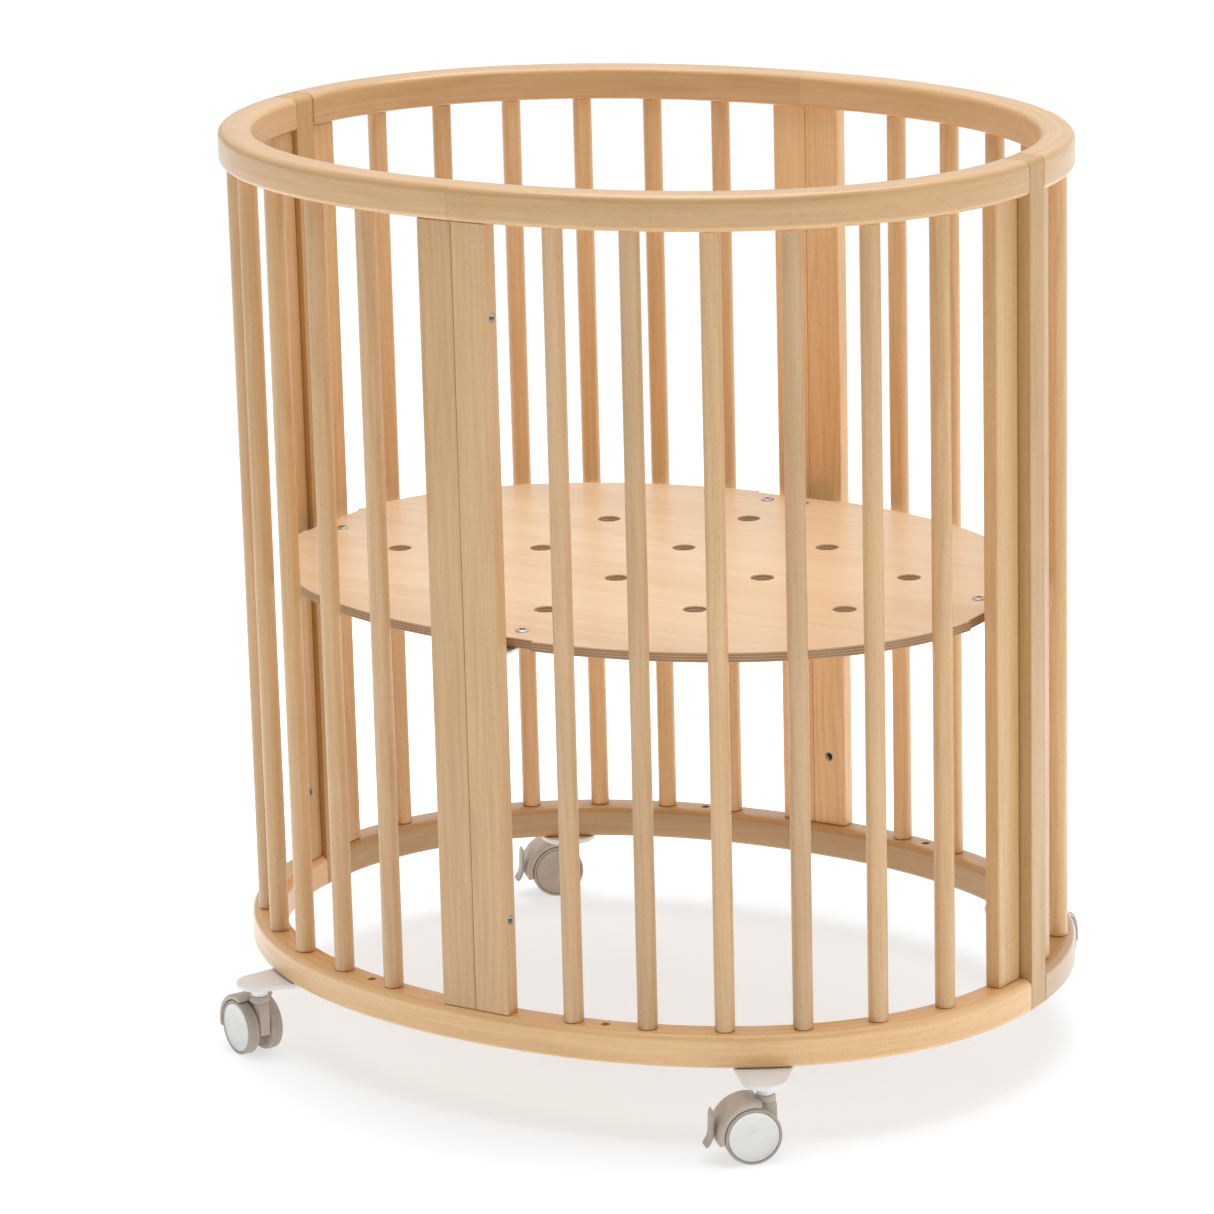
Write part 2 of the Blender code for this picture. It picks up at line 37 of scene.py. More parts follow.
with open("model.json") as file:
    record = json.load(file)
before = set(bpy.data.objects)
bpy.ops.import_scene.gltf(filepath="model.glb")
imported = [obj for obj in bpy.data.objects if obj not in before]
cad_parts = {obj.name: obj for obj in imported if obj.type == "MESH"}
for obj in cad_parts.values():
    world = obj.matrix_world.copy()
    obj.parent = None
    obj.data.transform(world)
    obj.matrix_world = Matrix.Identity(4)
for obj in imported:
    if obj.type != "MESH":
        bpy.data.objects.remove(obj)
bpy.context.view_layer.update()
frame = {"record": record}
RECORD = frame["record"]
BODY_OF = {node: body for body, nodes in RECORD["behaviour"]["bodies"].items() for node in nodes}
JOINTS = {joint["name"]: joint for joint in RECORD["behaviour"]["joints"]}
random.seed(11)

QUARTERS = {
    "front_right": (1, -1),
    "back_right": (1, 1),
    "back_left": (-1, 1),
    "front_left": (-1, -1),
}
FRAME_BODY = "crib_frame"

# ---- measures taken from the CAD
POST_LOW, POST_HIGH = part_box("end_post_right")
RAIL_LOW, RAIL_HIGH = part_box("bottom_rail_back")
BASE_LOW, BASE_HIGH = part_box("mattress_base")
SEMI_X = POST_HIGH.x
SEMI_Y = RAIL_HIGH.y
RAIL_WIDTH = POST_HIGH.x - POST_LOW.x
RAIL_HEIGHT = RAIL_HIGH.z - RAIL_LOW.z
RAIL_END_Y = RAIL_LOW.y
TOP_SEAM_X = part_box("top_rail_back_right")[0].x

# ---- shape of the details
OUTLINE_POWER = 2.13
RAIL_TOP_RADIUS = 0.007
RAIL_BOTTOM_RADIUS = 0.0055
RAIL_RADII = (RAIL_BOTTOM_RADIUS, RAIL_BOTTOM_RADIUS, RAIL_TOP_RADIUS, RAIL_TOP_RADIUS)
RAIL_STATIONS = 84
CORNER_STEPS = 6
CURVE_SAMPLES = 1400
END_CHAMFER = 0.0006
SEAM_CHAMFER = 0.0003
SEAM_CLOSE = 0.0001           # wood drawn this much over each side of a tight seam
POST_CHAMFER = 0.0009         # on the ends of the rails that meet a post from behind
POST_SHADOW_GAP = 0.0009      # the post stops this much short there, which leaves a dark line
SMALLEST_RADIUS = 0.0001
RAIL_HOLE_RADIUS = 0.004
RAIL_HOLE_DEPTH = 0.012
RAIL_HOLE_X = {"front": (-0.136, 0.1275), "back": (0.136, -0.1275)}
BOARD_RADIUS = 0.0017
END_BOARD_THICKNESS = 0.015
END_BOARD_TURN = math.radians(5.0)
SLAT_SIDES = 36
BASE_INSET = 0.041
BASE_NOTCH_DEPTH = 0.006
BASE_NOTCH_HALF_WIDTH = 0.046
BASE_STEPS = 60
BASE_CHAMFER = 0.0009
HOLE_RADIUS = 0.0105
HOLE_PITCH_X = 0.122
HOLE_PITCH_Y = 0.123
HOLE_SIDES = 48
PAD_STEM_RADIUS = 0.021
PAD_RAIL_RADIUS = 0.028
PAD_THICKNESS = 0.005
PAD_STEPS = 30
COLLAR_RADIUS = 0.008
INSERT_RADIUS = 0.0048
INSERT_BORE = 0.0036
INSERT_HOLE_DEPTH = 0.0080
INSERT_LENGTH = 0.0078
THREAD_TURNS = 7
THREAD_PITCH = 0.0008
LOW_BASE_Z = 0.178            # height of the unused inserts for the base's lower position
WHEEL_SIDES = 72
FENDER_INNER = 0.0273
FENDER_OUTER = 0.0320
FENDER_ARC = (74.0, 192.0)
HOOD_HALF_WIDTH = 0.0185
HOOD_STEPS = 48
HOOD_ROUND_OFF = 1.2          # degrees of the arc taken by the rounding at each end
YOKE_AHEAD = 0.0250
YOKE_HALF_WIDTH = 0.0055
YOKE_DEPTH = 0.02             # from its edge to its middle, to scale the edge's rounding
AXLE_BORE = 0.0043
LEVER_HALF_WIDTH = 0.0080
LEVER_THICKNESS = 0.0026
FIT_GAP = 0.0003
BRACKET_THICKNESS = 0.0025
BRACKET_BEND = 0.0030
BRACKET_EDGE = 0.0004
END_BRACKET_WIDTH = 0.028
END_BRACKET_REACH = 0.063
WALL_SCREW = (0.0055, 0.0026)  # radius and height of each kind of head
SHELF_NUT = (0.0050, 0.0032)
BASE_SCREW = (0.0064, 0.0018)


# ---- material graphs
class Graph:
    """Builds the node graph of a material or world. Plain numbers go straight onto sockets."""

    def __init__(self, owner, shader="Principled BSDF"):
        self.owner = owner
        owner.use_nodes = True
        self.tree = owner.node_tree
        self.shader = self.tree.nodes[shader]

    def put(self, socket, value):
        if isinstance(value, bpy.types.NodeSocket):
            self.tree.links.new(value, socket)
        elif isinstance(value, tuple) and socket.type == "RGBA":
            socket.default_value = (*value[:3], 1.0)
        else:
            socket.default_value = value

    def node(self, kind, inputs=(), **settings):
        made = self.tree.nodes.new(kind)
        for key, value in settings.items():
            setattr(made, key, value)
        for key, value in inputs:
            self.put(made.inputs[key], value)
        return made

    def attribute(self, name):
        return self.node("ShaderNodeAttribute", attribute_name=name)

    def grain(self, along, across, up):
        """The piece's own grain coordinates, scaled along, across and up, per metre."""
        vector = self.attribute("grain").outputs["Vector"]
        made = self.node("ShaderNodeVectorMath",
                         ((0, vector), (1, (along, across, up))), operation="MULTIPLY")
        return made.outputs[0]

    def noise(self, vector, detail=2.0, roughness=0.5, distortion=0.0):
        made = self.node("ShaderNodeTexNoise", (
            ("Vector", vector), ("Scale", 1.0), ("Detail", detail),
            ("Roughness", roughness), ("Distortion", distortion)))
        return made.outputs["Fac"]

    def cells(self, vector, feature="F1"):
        made = self.node("ShaderNodeTexVoronoi", (("Vector", vector), ("Scale", 1.0)),
                         feature=feature)
        return made.outputs["Distance"]

    def math(self, operation, first, second=0.0):
        made = self.node("ShaderNodeMath", ((0, first), (1, second)), operation=operation)
        return made.outputs[0]

    def times(self, first, second):
        return self.math("MULTIPLY", first, second)

    def plus(self, first, second):
        return self.math("ADD", first, second)

    def weighted(self, *parts):
        """Sum of values, each times its own weight."""
        total = None
        for value, weight in parts:
            term = self.times(value, weight)
            total = self.plus(total, term) if total else term
        return total

    def ramp(self, value, low, high, to_low=0.0, to_high=1.0):
        made = self.node("ShaderNodeMapRange", (
            ("Value", value), ("From Min", low), ("From Max", high),
            ("To Min", to_low), ("To Max", to_high)), interpolation_type="SMOOTHSTEP")
        return made.outputs["Result"]

    def mix(self, share, first, second, blend="MIX"):
        made = self.node("ShaderNodeMix", data_type="RGBA", blend_type=blend)
        factors = [socket for socket in made.inputs if socket.name == "Factor"]
        self.put(factors[0], share)
        colour_inputs = [socket for socket in made.inputs if socket.type == "RGBA"]
        self.put(colour_inputs[0], first)
        self.put(colour_inputs[1], second)
        return [socket for socket in made.outputs if socket.type == "RGBA"][0]

    def bump(self, height, strength, distance):
        made = self.node("ShaderNodeBump", (
            ("Height", height), ("Strength", strength), ("Distance", distance)))
        return made.outputs["Normal"]

    def finish(self, **values):
        for key, value in values.items():
            self.put(self.shader.inputs[key.replace("_", " ")], value)
        return self.owner


def toned(graph, colour):
    """Lighten or darken a colour by the piece's tone, and make it paler or more golden. On most
    pieces the tone is their own random tone; on the bottom rails, back boards and back slats it is
    painted light and painted shade.
    """
    tone = graph.attribute("tone").outputs["Fac"]
    pale = graph.attribute("pale").outputs["Fac"]
    green = graph.plus(graph.times(pale, 0.03), tone)
    blue = graph.plus(graph.times(pale, 0.16), tone)
    grey = graph.node("ShaderNodeCombineColor",
                      (("Red", tone), ("Green", green), ("Blue", blue))).outputs["Color"]
    return graph.mix(1.0, colour, grey, "MULTIPLY")


def make_wood(name, light, dark, figure, fleck_share, roughness, coat):
    """Lacquered beech: long streaks, growth rings, broad tone and short dark flecks."""
    g = Graph(bpy.data.materials.new(name))
    broad = g.noise(g.grain(3.0, 16.0, 16.0), 3.0, 0.55)
    streak = g.noise(g.grain(7.0, 240.0, 240.0), 4.0, 0.6, 0.2)
    fine = g.noise(g.grain(30.0, 1150.0, 1150.0), 2.0, 0.6)
    warp = g.noise(g.grain(4.5, 26.0, 26.0), 2.0, 0.5)
    ring_vector = g.grain(0.012, 1.0, 0.62)
    ring_place = g.node("ShaderNodeVectorMath", ((0, ring_vector),),
                        operation="LENGTH").outputs["Value"]
    ring_place = g.plus(ring_place, g.times(warp, 0.030))
    ring_wave = g.math("SINE", g.times(ring_place, 2 * math.pi / 0.0075))
    rings = g.ramp(ring_wave, -0.2, 1.0)
    rings = g.times(rings, g.ramp(broad, 0.35, 0.65))
    depth = g.weighted((g.ramp(streak, 0.28, 0.74), 0.36), (rings, figure),
                       (g.ramp(broad, 0.3, 0.7), 0.26), (g.ramp(fine, 0.3, 0.7), 0.14))
    colour = g.mix(depth, light, dark)
    fleck = g.ramp(g.noise(g.grain(260.0, 1700.0, 1700.0), 1.0, 0.5), 0.60, 0.72)
    fleck = g.times(fleck, g.ramp(streak, 0.35, 0.6, 0.35, 1.0))
    fleck_colour = tuple(channel * 0.45 for channel in dark)
    colour = g.mix(g.times(fleck, fleck_share), colour, fleck_colour)
    colour = toned(g, colour)
    handled = g.ramp(g.noise(g.grain(6.0, 30.0, 30.0), 3.0, 0.6), 0.35, 0.7)
    rough = g.plus(g.times(handled, 0.10), roughness)
    rough = g.plus(rough, g.times(fleck, 0.10))
    height = g.math("SUBTRACT", g.times(fine, 0.5), fleck)
    ripple = g.noise(g.grain(9.0, 45.0, 45.0), 2.0, 0.5)
    height = g.plus(height, g.times(ripple, 1.5))
    normal = g.bump(height, 0.22, 0.00022)
    return g.finish(Base_Color=colour, Roughness=rough, Normal=normal,
                    Coat_Weight=coat, Coat_Roughness=0.26)


def make_veneer(name, light, dark):
    """Pale lacquered face veneer: wide soft figure with short flecks."""
    g = Graph(bpy.data.materials.new(name))
    broad = g.noise(g.grain(1.6, 9.0, 9.0), 3.0, 0.55)
    figure = g.noise(g.grain(2.2, 60.0, 60.0), 4.0, 0.6, 0.5)
    streak = g.noise(g.grain(9.0, 420.0, 420.0), 3.0, 0.6)
    depth = g.weighted((g.ramp(figure, 0.32, 0.70), 0.50), (g.ramp(broad, 0.3, 0.7), 0.28),
                       (g.ramp(streak, 0.3, 0.7), 0.22))
    colour = g.mix(depth, light, dark)
    fleck = g.ramp(g.noise(g.grain(220.0, 1500.0, 1500.0), 1.0, 0.5), 0.60, 0.72)
    colour = g.mix(g.times(fleck, 0.22), colour, tuple(c * 0.5 for c in dark))
    colour = toned(g, colour)
    wear = g.ramp(g.noise(g.grain(7.0, 7.0, 7.0), 4.0, 0.65), 0.35, 0.7)
    rough = g.plus(g.times(wear, 0.12), 0.30)
    height = g.math("SUBTRACT", g.times(streak, 0.6), g.times(fleck, 0.7))
    return g.finish(Base_Color=colour, Roughness=rough, Normal=g.bump(height, 0.15, 0.0002),
                    Coat_Weight=0.35, Coat_Roughness=0.20)


def make_ply_edge(name, face_ply, cross_ply):
    """Edge of the plywood: seven plies with thin dark glue lines."""
    g = Graph(bpy.data.materials.new(name))
    plies = 7
    ply = (BASE_HIGH.z - BASE_LOW.z) / plies
    vector = g.attribute("grain").outputs["Vector"]
    height = g.node("ShaderNodeSeparateXYZ", ((0, vector),)).outputs["Z"]
    waver = g.noise(g.grain(40.0, 40.0, 0.0), 2.0, 0.5)
    level = g.plus(height, g.times(g.math("SUBTRACT", waver, 0.5), 0.0004))
    level = g.math("DIVIDE", level, ply)
    is_cross = g.math("GREATER_THAN", g.math("MODULO", level, 2.0), 1.0)
    within = g.math("MODULO", level, 1.0)
    glue = g.ramp(g.math("ABSOLUTE", g.math("SUBTRACT", within, 0.5)), 0.40, 0.48)
    colour = g.mix(is_cross, face_ply, cross_ply)
    fibre = g.noise(g.grain(900.0, 900.0, 2600.0), 3.0, 0.6)
    colour = g.mix(g.ramp(fibre, 0.35, 0.7, 0.0, 0.5), colour,
                   tuple(c * 0.55 for c in cross_ply))
    colour = g.mix(g.times(glue, 0.65), colour, tuple(c * 0.35 for c in cross_ply))
    colour = toned(g, colour)
    rise = g.math("SUBTRACT", g.times(fibre, 0.8), glue)
    return g.finish(Base_Color=colour, Roughness=0.62, Normal=g.bump(rise, 0.35, 0.0002))


def make_plastic(name, base, shade, roughness):
    """Moulded plastic: faint mottling, fine moulded grain and broad darker patches."""
    g = Graph(bpy.data.materials.new(name))
    mottle = g.noise(g.grain(120.0, 120.0, 120.0), 4.0, 0.6)
    broad = g.noise(g.grain(30.0, 30.0, 30.0), 3.0, 0.55)
    colour = g.mix(g.ramp(mottle, 0.3, 0.7, 0.0, 0.55), base, shade)
    colour = g.mix(g.ramp(broad, 0.45, 0.75, 0.0, 0.35), colour, tuple(c * 0.86 for c in base))
    scuff = g.ramp(g.noise(g.grain(700.0, 90.0, 160.0), 2.0, 0.6), 0.66, 0.74)
    scuffed = tuple(min(c * 1.25, 1) for c in base)
    colour = g.mix(g.times(scuff, 0.25), colour, scuffed)
    colour = toned(g, colour)
    rough = g.ramp(broad, 0.3, 0.7, roughness - 0.05, roughness + 0.10)
    rough = g.plus(rough, g.times(scuff, 0.12))
    moulded = g.cells(g.grain(2600.0, 2600.0, 2600.0))
    height = g.weighted((moulded, 0.5), (mottle, 0.6))
    return g.finish(Base_Color=colour, Roughness=rough, Normal=g.bump(height, 0.22, 0.00012))


def make_steel(name, base, roughness):
    """Zinc-plated steel: brushed lines, cloudy plating and small scratches."""
    g = Graph(bpy.data.materials.new(name))
    brushed = g.noise(g.grain(60.0, 2400.0, 2400.0), 3.0, 0.6)
    cloud = g.noise(g.grain(220.0, 220.0, 220.0), 4.0, 0.6)
    scratch = g.ramp(g.noise(g.grain(2000.0, 140.0, 300.0), 1.0, 0.5), 0.68, 0.74)
    colour = g.mix(g.ramp(cloud, 0.3, 0.7, 0.0, 0.5), base, tuple(c * 0.72 for c in base))
    colour = toned(g, colour)
    rough = g.ramp(brushed, 0.3, 0.7, roughness - 0.07, roughness + 0.10)
    rough = g.plus(rough, g.times(scratch, 0.15))
    height = g.math("SUBTRACT", brushed, g.times(scratch, 0.8))
    return g.finish(Base_Color=colour, Metallic=1.0, Roughness=rough,
                    Normal=g.bump(height, 0.20, 0.0001))


RAIL_WOOD = make_wood("rail_beech_look", (0.790, 0.498, 0.236), (0.600, 0.331, 0.126),
                      0.16, 0.30, 0.30, 0.60)
UPRIGHT_WOOD = make_wood("upright_beech_look", (0.780, 0.504, 0.247), (0.590, 0.338, 0.136),
                         0.20, 0.34, 0.34, 0.25)
VENEER = make_veneer("base_veneer_look", (0.860, 0.640, 0.420), (0.740, 0.500, 0.290))
PLY_EDGE = make_ply_edge("ply_edge_look", (0.620, 0.420, 0.250), (0.430, 0.260, 0.140))
STEEL = make_steel("zinc_steel_look", (0.640, 0.640, 0.650), 0.30)
BRIGHT_STEEL = make_steel("bright_steel_look", (0.780, 0.780, 0.790), 0.22)
PAD_PLASTIC = make_plastic("pad_white_look", (0.950, 0.945, 0.935), (0.900, 0.890, 0.875), 0.36)
CAP_PLASTIC = make_plastic("cap_white_look", (0.960, 0.950, 0.905), (0.905, 0.890, 0.840), 0.34)
HOUSING_PLASTIC = make_plastic("housing_taupe_look", (0.600, 0.515, 0.430),
                               (0.510, 0.430, 0.350), 0.42)
WHEEL_PLASTIC = make_plastic("wheel_taupe_look", (0.530, 0.455, 0.380),
                             (0.430, 0.365, 0.300), 0.46)
LEVER_PLASTIC = make_plastic("lever_taupe_look", (0.580, 0.500, 0.420),
                             (0.480, 0.405, 0.335), 0.42)


# ---- making pieces
def mesh_from(name, bm):
    mesh = bpy.data.meshes.new(name)
    bm.to_mesh(mesh)
    bm.free()
    return mesh


def link(name, data):
    made = bpy.data.objects.new(name, data)
    bpy.context.scene.collection.objects.link(made)
    return made


def own_grain(along="z"):
    """Straight grain: maps points to (along, across, up) for a piece whose grain runs one way."""
    order = {"x": (0, 1, 2), "y": (1, 0, 2), "z": (2, 0, 1)}[along]

    def mapping(points):
        centre = points.mean(axis=0)
        return (points - centre)[:, order]
    return mapping


def add_piece(name, bm, materials, body, replaces=(), grain=None, place=None,
              tone=1.0, pale=0.0, smooth=32.0, cut_by=()):
    """Finish a bmesh as a piece: cuts, grain coordinates, tone, placing and its ride.

    A tone of None is drawn at random.
    """
    bmesh.ops.remove_doubles(bm, verts=bm.verts, dist=1e-6)
    bmesh.ops.recalc_face_normals(bm, faces=bm.faces)
    mesh = mesh_from(name, bm)
    piece = link(name, mesh)
    for material in materials:
        mesh.materials.append(material)
    if cut_by:
        cut_holes(piece, cut_by)
        mesh = piece.data
    points = np.array([vertex.co for vertex in mesh.vertices], float).reshape(-1, 3)
    coordinates = (grain or own_grain("x"))(points)
    draws = [random.uniform(-3, 3) for _ in range(3)]
    shift = (draws[0], 0.0, 0.0)
    if materials[0] in (RAIL_WOOD, UPRIGHT_WOOD):
        shift = (random.uniform(-4, 4), random.uniform(0.02, 0.09), random.uniform(-0.07, 0.07))
    layer = mesh.attributes.new("grain", "FLOAT_VECTOR", "POINT")
    layer.data.foreach_set("vector", (coordinates + shift).astype(np.float32).ravel())
    if tone is None:
        tone = random.uniform(0.95, 1.04)
    for attribute, value in (("tone", tone), ("pale", pale)):
        layer = mesh.attributes.new(attribute, "FLOAT", "POINT")
        layer.data.foreach_set("value", np.full(len(points), value, np.float32))
    mesh.shade_smooth()
    mesh.set_sharp_from_angle(angle=math.radians(smooth))
    if place is not None:
        mesh.transform(place)
        if place.determinant() < 0.0:
            mesh.flip_normals()
    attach(piece, body)
    if replaces:
        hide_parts(*replaces)
    return piece


def cut_holes(piece, cutters):
    """Cut closed meshes out of a piece and drop the cutters."""
    helpers = []
    for index, bm in enumerate(cutters):
        bmesh.ops.recalc_face_normals(bm, faces=bm.faces)
        helper = link("cutter_%d" % index, mesh_from("cutter_%d" % index, bm))
        modifier = piece.modifiers.new("cut", "BOOLEAN")
        modifier.solver = "EXACT"
        modifier.object = helper
        helpers.append(helper)
    bpy.context.view_layer.update()
    evaluated = piece.evaluated_get(bpy.context.evaluated_depsgraph_get())
    made = bpy.data.meshes.new_from_object(evaluated)
    piece.modifiers.clear()
    piece.data = made
    for helper in helpers:
        bpy.data.objects.remove(helper, do_unlink=True)


def loft(rings):
    """Closed body through rings of equal length, with flat ends."""
    bm = bmesh.new()
    loops = [[bm.verts.new(point) for point in ring] for ring in rings]
    for near, far in zip(loops, loops[1:]):
        for index in range(len(near)):
            after = (index + 1) % len(near)
            bm.faces.new((near[index], near[after], far[after], far[index]))
    bm.faces.new(loops[0])
    bm.faces.new(tuple(reversed(loops[-1])))
    return bm


def lathe(profile, sides, bm=None, place=None):
    """Body turned about the Z axis from (radius, height) points that start and end on it."""
    bm = bm or bmesh.new()
    place = place or Matrix.Identity(4)
    rings = []
    for radius, height in profile:
        if radius == 0.0:
            rings.append([bm.verts.new(place @ Vector((0.0, 0.0, height)))])
            continue
        rings.append([bm.verts.new(place @ Vector((
            radius * math.cos(2 * math.pi * side / sides),
            radius * math.sin(2 * math.pi * side / sides), height))) for side in range(sides)])
    for near, far in zip(rings, rings[1:]):
        for side in range(sides):
            after = (side + 1) % sides
            if len(near) == 1:
                bm.faces.new((near[0], far[after], far[side]))
            elif len(far) == 1:
                bm.faces.new((near[side], near[after], far[0]))
            else:
                bm.faces.new((near[side], near[after], far[after], far[side]))
    return bm


def rounded_rectangle(low, high, radii, steps, shrink=0.0):
    """Closed loop of 2-D points; radii are for the corners (low,low), (high,low), ..."""
    corners = (
        (low[0], low[1], 1, 1, 180),
        (high[0], low[1], -1, 1, 270),
        (high[0], high[1], -1, -1, 0),
        (low[0], high[1], 1, -1, 90),
    )
    points = []
    for (x, y, to_x, to_y, start), radius in zip(corners, radii):
        inner = max(radius - shrink, SMALLEST_RADIUS)
        centre = (x + to_x * (shrink + inner), y + to_y * (shrink + inner))
        for step in range(steps + 1):
            angle = math.radians(start + 90 * step / steps)
            points.append((centre[0] + inner * math.cos(angle),
                           centre[1] + inner * math.sin(angle)))
    return points


# ---- the oval
def make_curve():
    """Fine table of one quarter of the rail's outer edge: points, normals and length run."""
    t = np.linspace(0.0, math.pi / 2, CURVE_SAMPLES)
    x = SEMI_X * np.sin(t) ** (2 / OUTLINE_POWER)
    y = SEMI_Y * np.clip(np.cos(t), 0, 1) ** (2 / OUTLINE_POWER)
    normal = np.stack([(x / SEMI_X) ** (OUTLINE_POWER - 1) / SEMI_X,
                       (y / SEMI_Y) ** (OUTLINE_POWER - 1) / SEMI_Y], axis=1)
    normal /= np.linalg.norm(normal, axis=1)[:, None]
    points = np.stack([x, y], axis=1)
    run = np.concatenate([[0.0], np.cumsum(np.linalg.norm(np.diff(points, axis=0), axis=1))])
    return points, normal, run


CURVE, CURVE_NORMAL, CURVE_RUN = make_curve()


def edge_at(run):
    point = Vector(float(np.interp(run, CURVE_RUN, CURVE[:, axis])) for axis in (0, 1))
    normal = Vector(float(np.interp(run, CURVE_RUN, CURVE_NORMAL[:, axis])) for axis in (0, 1))
    return point, normal.normalized()


def rail_grain(points):
    """Bent grain: the length run along the oval, the depth in from its edge, and the height."""
    flat = np.abs(points[:, :2])
    away = ((flat[:, None, :] - CURVE[None, ::4, :]) ** 2).sum(axis=2)
    nearest = away.argmin(axis=1) * 4
    delta = flat - CURVE[nearest]
    depth = -(delta * CURVE_NORMAL[nearest]).sum(axis=1)
    tangent = np.stack([CURVE_NORMAL[nearest][:, 1], -CURVE_NORMAL[nearest][:, 0]], axis=1)
    along = (CURVE_RUN[nearest] + (delta * tangent).sum(axis=1)) * np.sign(points[:, 0])
    along += (points[:, 1] < 0) * 3.0
    return np.stack([along, depth, points[:, 2] - points[:, 2].mean()], axis=1)


def rail_profile(shrink=0.0):
    size = (RAIL_WIDTH, RAIL_HEIGHT)
    return rounded_rectangle((0.0, 0.0), size, RAIL_RADII, CORNER_STEPS, shrink)


def rail_ring(point, normal, signs, low_z, shrink=0.0, x=None, y=None):
    """One section of a rail, squared up at a seam's x or a post's y."""
    ring = []
    for inset, up in rail_profile(shrink):
        place = point - normal * inset
        if x is not None:
            place = Vector((x, point.y - inset))
        if y is not None:
            place = Vector((point.x - inset, y))
        ring.append((place.x * signs[0], place.y * signs[1], low_z + up))
    return ring


def quarter_rings(signs, low_z, seam_x=None):
    """Rings of a quarter rail from the long side's middle to the end post."""
    end_run = float(np.interp(-RAIL_END_Y, -CURVE[:, 1], CURVE_RUN))
    start_run = 0.0
    rings = []
    if seam_x is not None:
        start_run = seam_x + 2 * END_CHAMFER
        point, normal = edge_at(seam_x)
        rings.append(rail_ring(point, normal, signs, low_z, SEAM_CHAMFER, x=seam_x))
        rings.append(rail_ring(point, normal, signs, low_z, 0.0, x=seam_x + SEAM_CHAMFER))
    last_run = end_run - 2 * POST_CHAMFER
    for step in range(RAIL_STATIONS + 1):
        point, normal = edge_at(start_run + (last_run - start_run) * step / RAIL_STATIONS)
        rings.append(rail_ring(point, normal, signs, low_z))
    point, normal = edge_at(end_run)
    chamfer = POST_CHAMFER if signs[1] > 0 else END_CHAMFER
    rings.append(rail_ring(point, normal, signs, low_z, 0.0, y=RAIL_END_Y + chamfer))
    rings.append(rail_ring(point, normal, signs, low_z, chamfer, y=RAIL_END_Y))
    return rings


def build_top_rails():
    for quarter, signs in QUARTERS.items():
        node = "top_rail_" + quarter
        low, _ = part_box(node)
        bm = loft(quarter_rings(signs, low.z, TOP_SEAM_X - SEAM_CLOSE))
        add_piece("bent_" + node, bm, [RAIL_WOOD], FRAME_BODY, [node], rail_grain,
                  tone=None)


def build_bottom_rails():
    hole = [(0.0, -RAIL_HOLE_DEPTH), (RAIL_HOLE_RADIUS, -RAIL_HOLE_DEPTH),
            (RAIL_HOLE_RADIUS, -0.0004), (RAIL_HOLE_RADIUS + 0.0006, 0.0003), (0.0, 0.0003)]
    for side in ("front", "back"):
        node = "bottom_rail_" + side
        low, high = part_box(node)
        right = quarter_rings(QUARTERS[side + "_right"], low.z)
        left = quarter_rings(QUARTERS[side + "_left"], low.z)
        bm = loft(list(reversed(left)) + right[1:])
        cutters = []
        sign_y = QUARTERS[side + "_right"][1]
        for x in RAIL_HOLE_X[side]:
            run = float(np.interp(abs(x), CURVE[:, 0], CURVE_RUN))
            point, normal = edge_at(run)
            middle = point - normal * RAIL_WIDTH / 2
            place = Matrix.Translation((math.copysign(middle.x, x), middle.y * sign_y, high.z))
            cutters.append(lathe(hole, 32, place=place))
        # Painted light and shade: the front bottom rail is drawn brighter, as if lit from the floor,
        # and the back one darker, as if shaded by the base above it.
        add_piece("bent_" + node, bm, [RAIL_WOOD], FRAME_BODY, [node], rail_grain,
                  tone=1.24 if side == "front" else 0.78, cut_by=cutters)


# ---- uprights
def build_posts():
    for side, sign in (("right", 1), ("left", -1)):
        node = "end_post_" + side
        low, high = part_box(node)
        size = (high.x - low.x, high.z - low.z)

        def ring(y, shrink):
            loop = rounded_rectangle((0.0, 0.0), size, RAIL_RADII, CORNER_STEPS, shrink)
            return [(sign * (SEMI_X - inset), y, low.z + up) for inset, up in loop]
        rings = [
            ring(low.y, END_CHAMFER),
            ring(low.y + END_CHAMFER, 0.0),
            ring(high.y - POST_SHADOW_GAP - END_CHAMFER, 0.0),
            ring(high.y - POST_SHADOW_GAP, END_CHAMFER),
        ]
        add_piece("solid_" + node, loft(rings), [UPRIGHT_WOOD], FRAME_BODY,
                  [node], own_grain("z"), tone=0.82, pale=-0.9)


def bar_rings(low, high, radius, z_low, z_high):
    radii = (radius,) * 4
    rows = ((z_low, END_CHAMFER), (z_low + END_CHAMFER, 0.0),
            (z_high - END_CHAMFER, 0.0), (z_high, END_CHAMFER))
    return [[(x, y, z) for x, y in rounded_rectangle(low, high, radii, CORNER_STEPS, shrink)]
            for z, shrink in rows]


def insert_cutter(place):
    profile = [(0.0, -INSERT_HOLE_DEPTH), (INSERT_RADIUS, -INSERT_HOLE_DEPTH),
               (INSERT_RADIUS, 0.0010), (0.0, 0.0010)]
    return lathe(profile, 36, place=place)


def add_insert(name, place):
    """Threaded steel insert: a thin ring round a deep bore, set just below the wood."""
    ring = INSERT_RADIUS - 0.00005
    profile = [(0.0, -INSERT_LENGTH), (ring, -INSERT_LENGTH), (ring, -0.0004),
               (ring - 0.0003, -0.0002), (INSERT_BORE + 0.0003, -0.0003), (INSERT_BORE, -0.0007)]
    for turn in range(THREAD_TURNS):
        z = -0.0010 - THREAD_PITCH * turn
        profile += [(INSERT_BORE, z), (INSERT_BORE + 0.0003, z - 0.00045)]
    profile += [(INSERT_BORE, -0.0070), (0.0, -0.0070)]
    bm = lathe(profile, 36)
    add_piece(name, bm, [BRIGHT_STEEL], FRAME_BODY, place=place, tone=0.62)


def facing(point, direction):
    """Matrix that puts the Z axis along a direction at a point."""
    return Matrix.Translation(point) @ Vector(direction).to_track_quat("Z", "X").to_matrix().to_4x4()


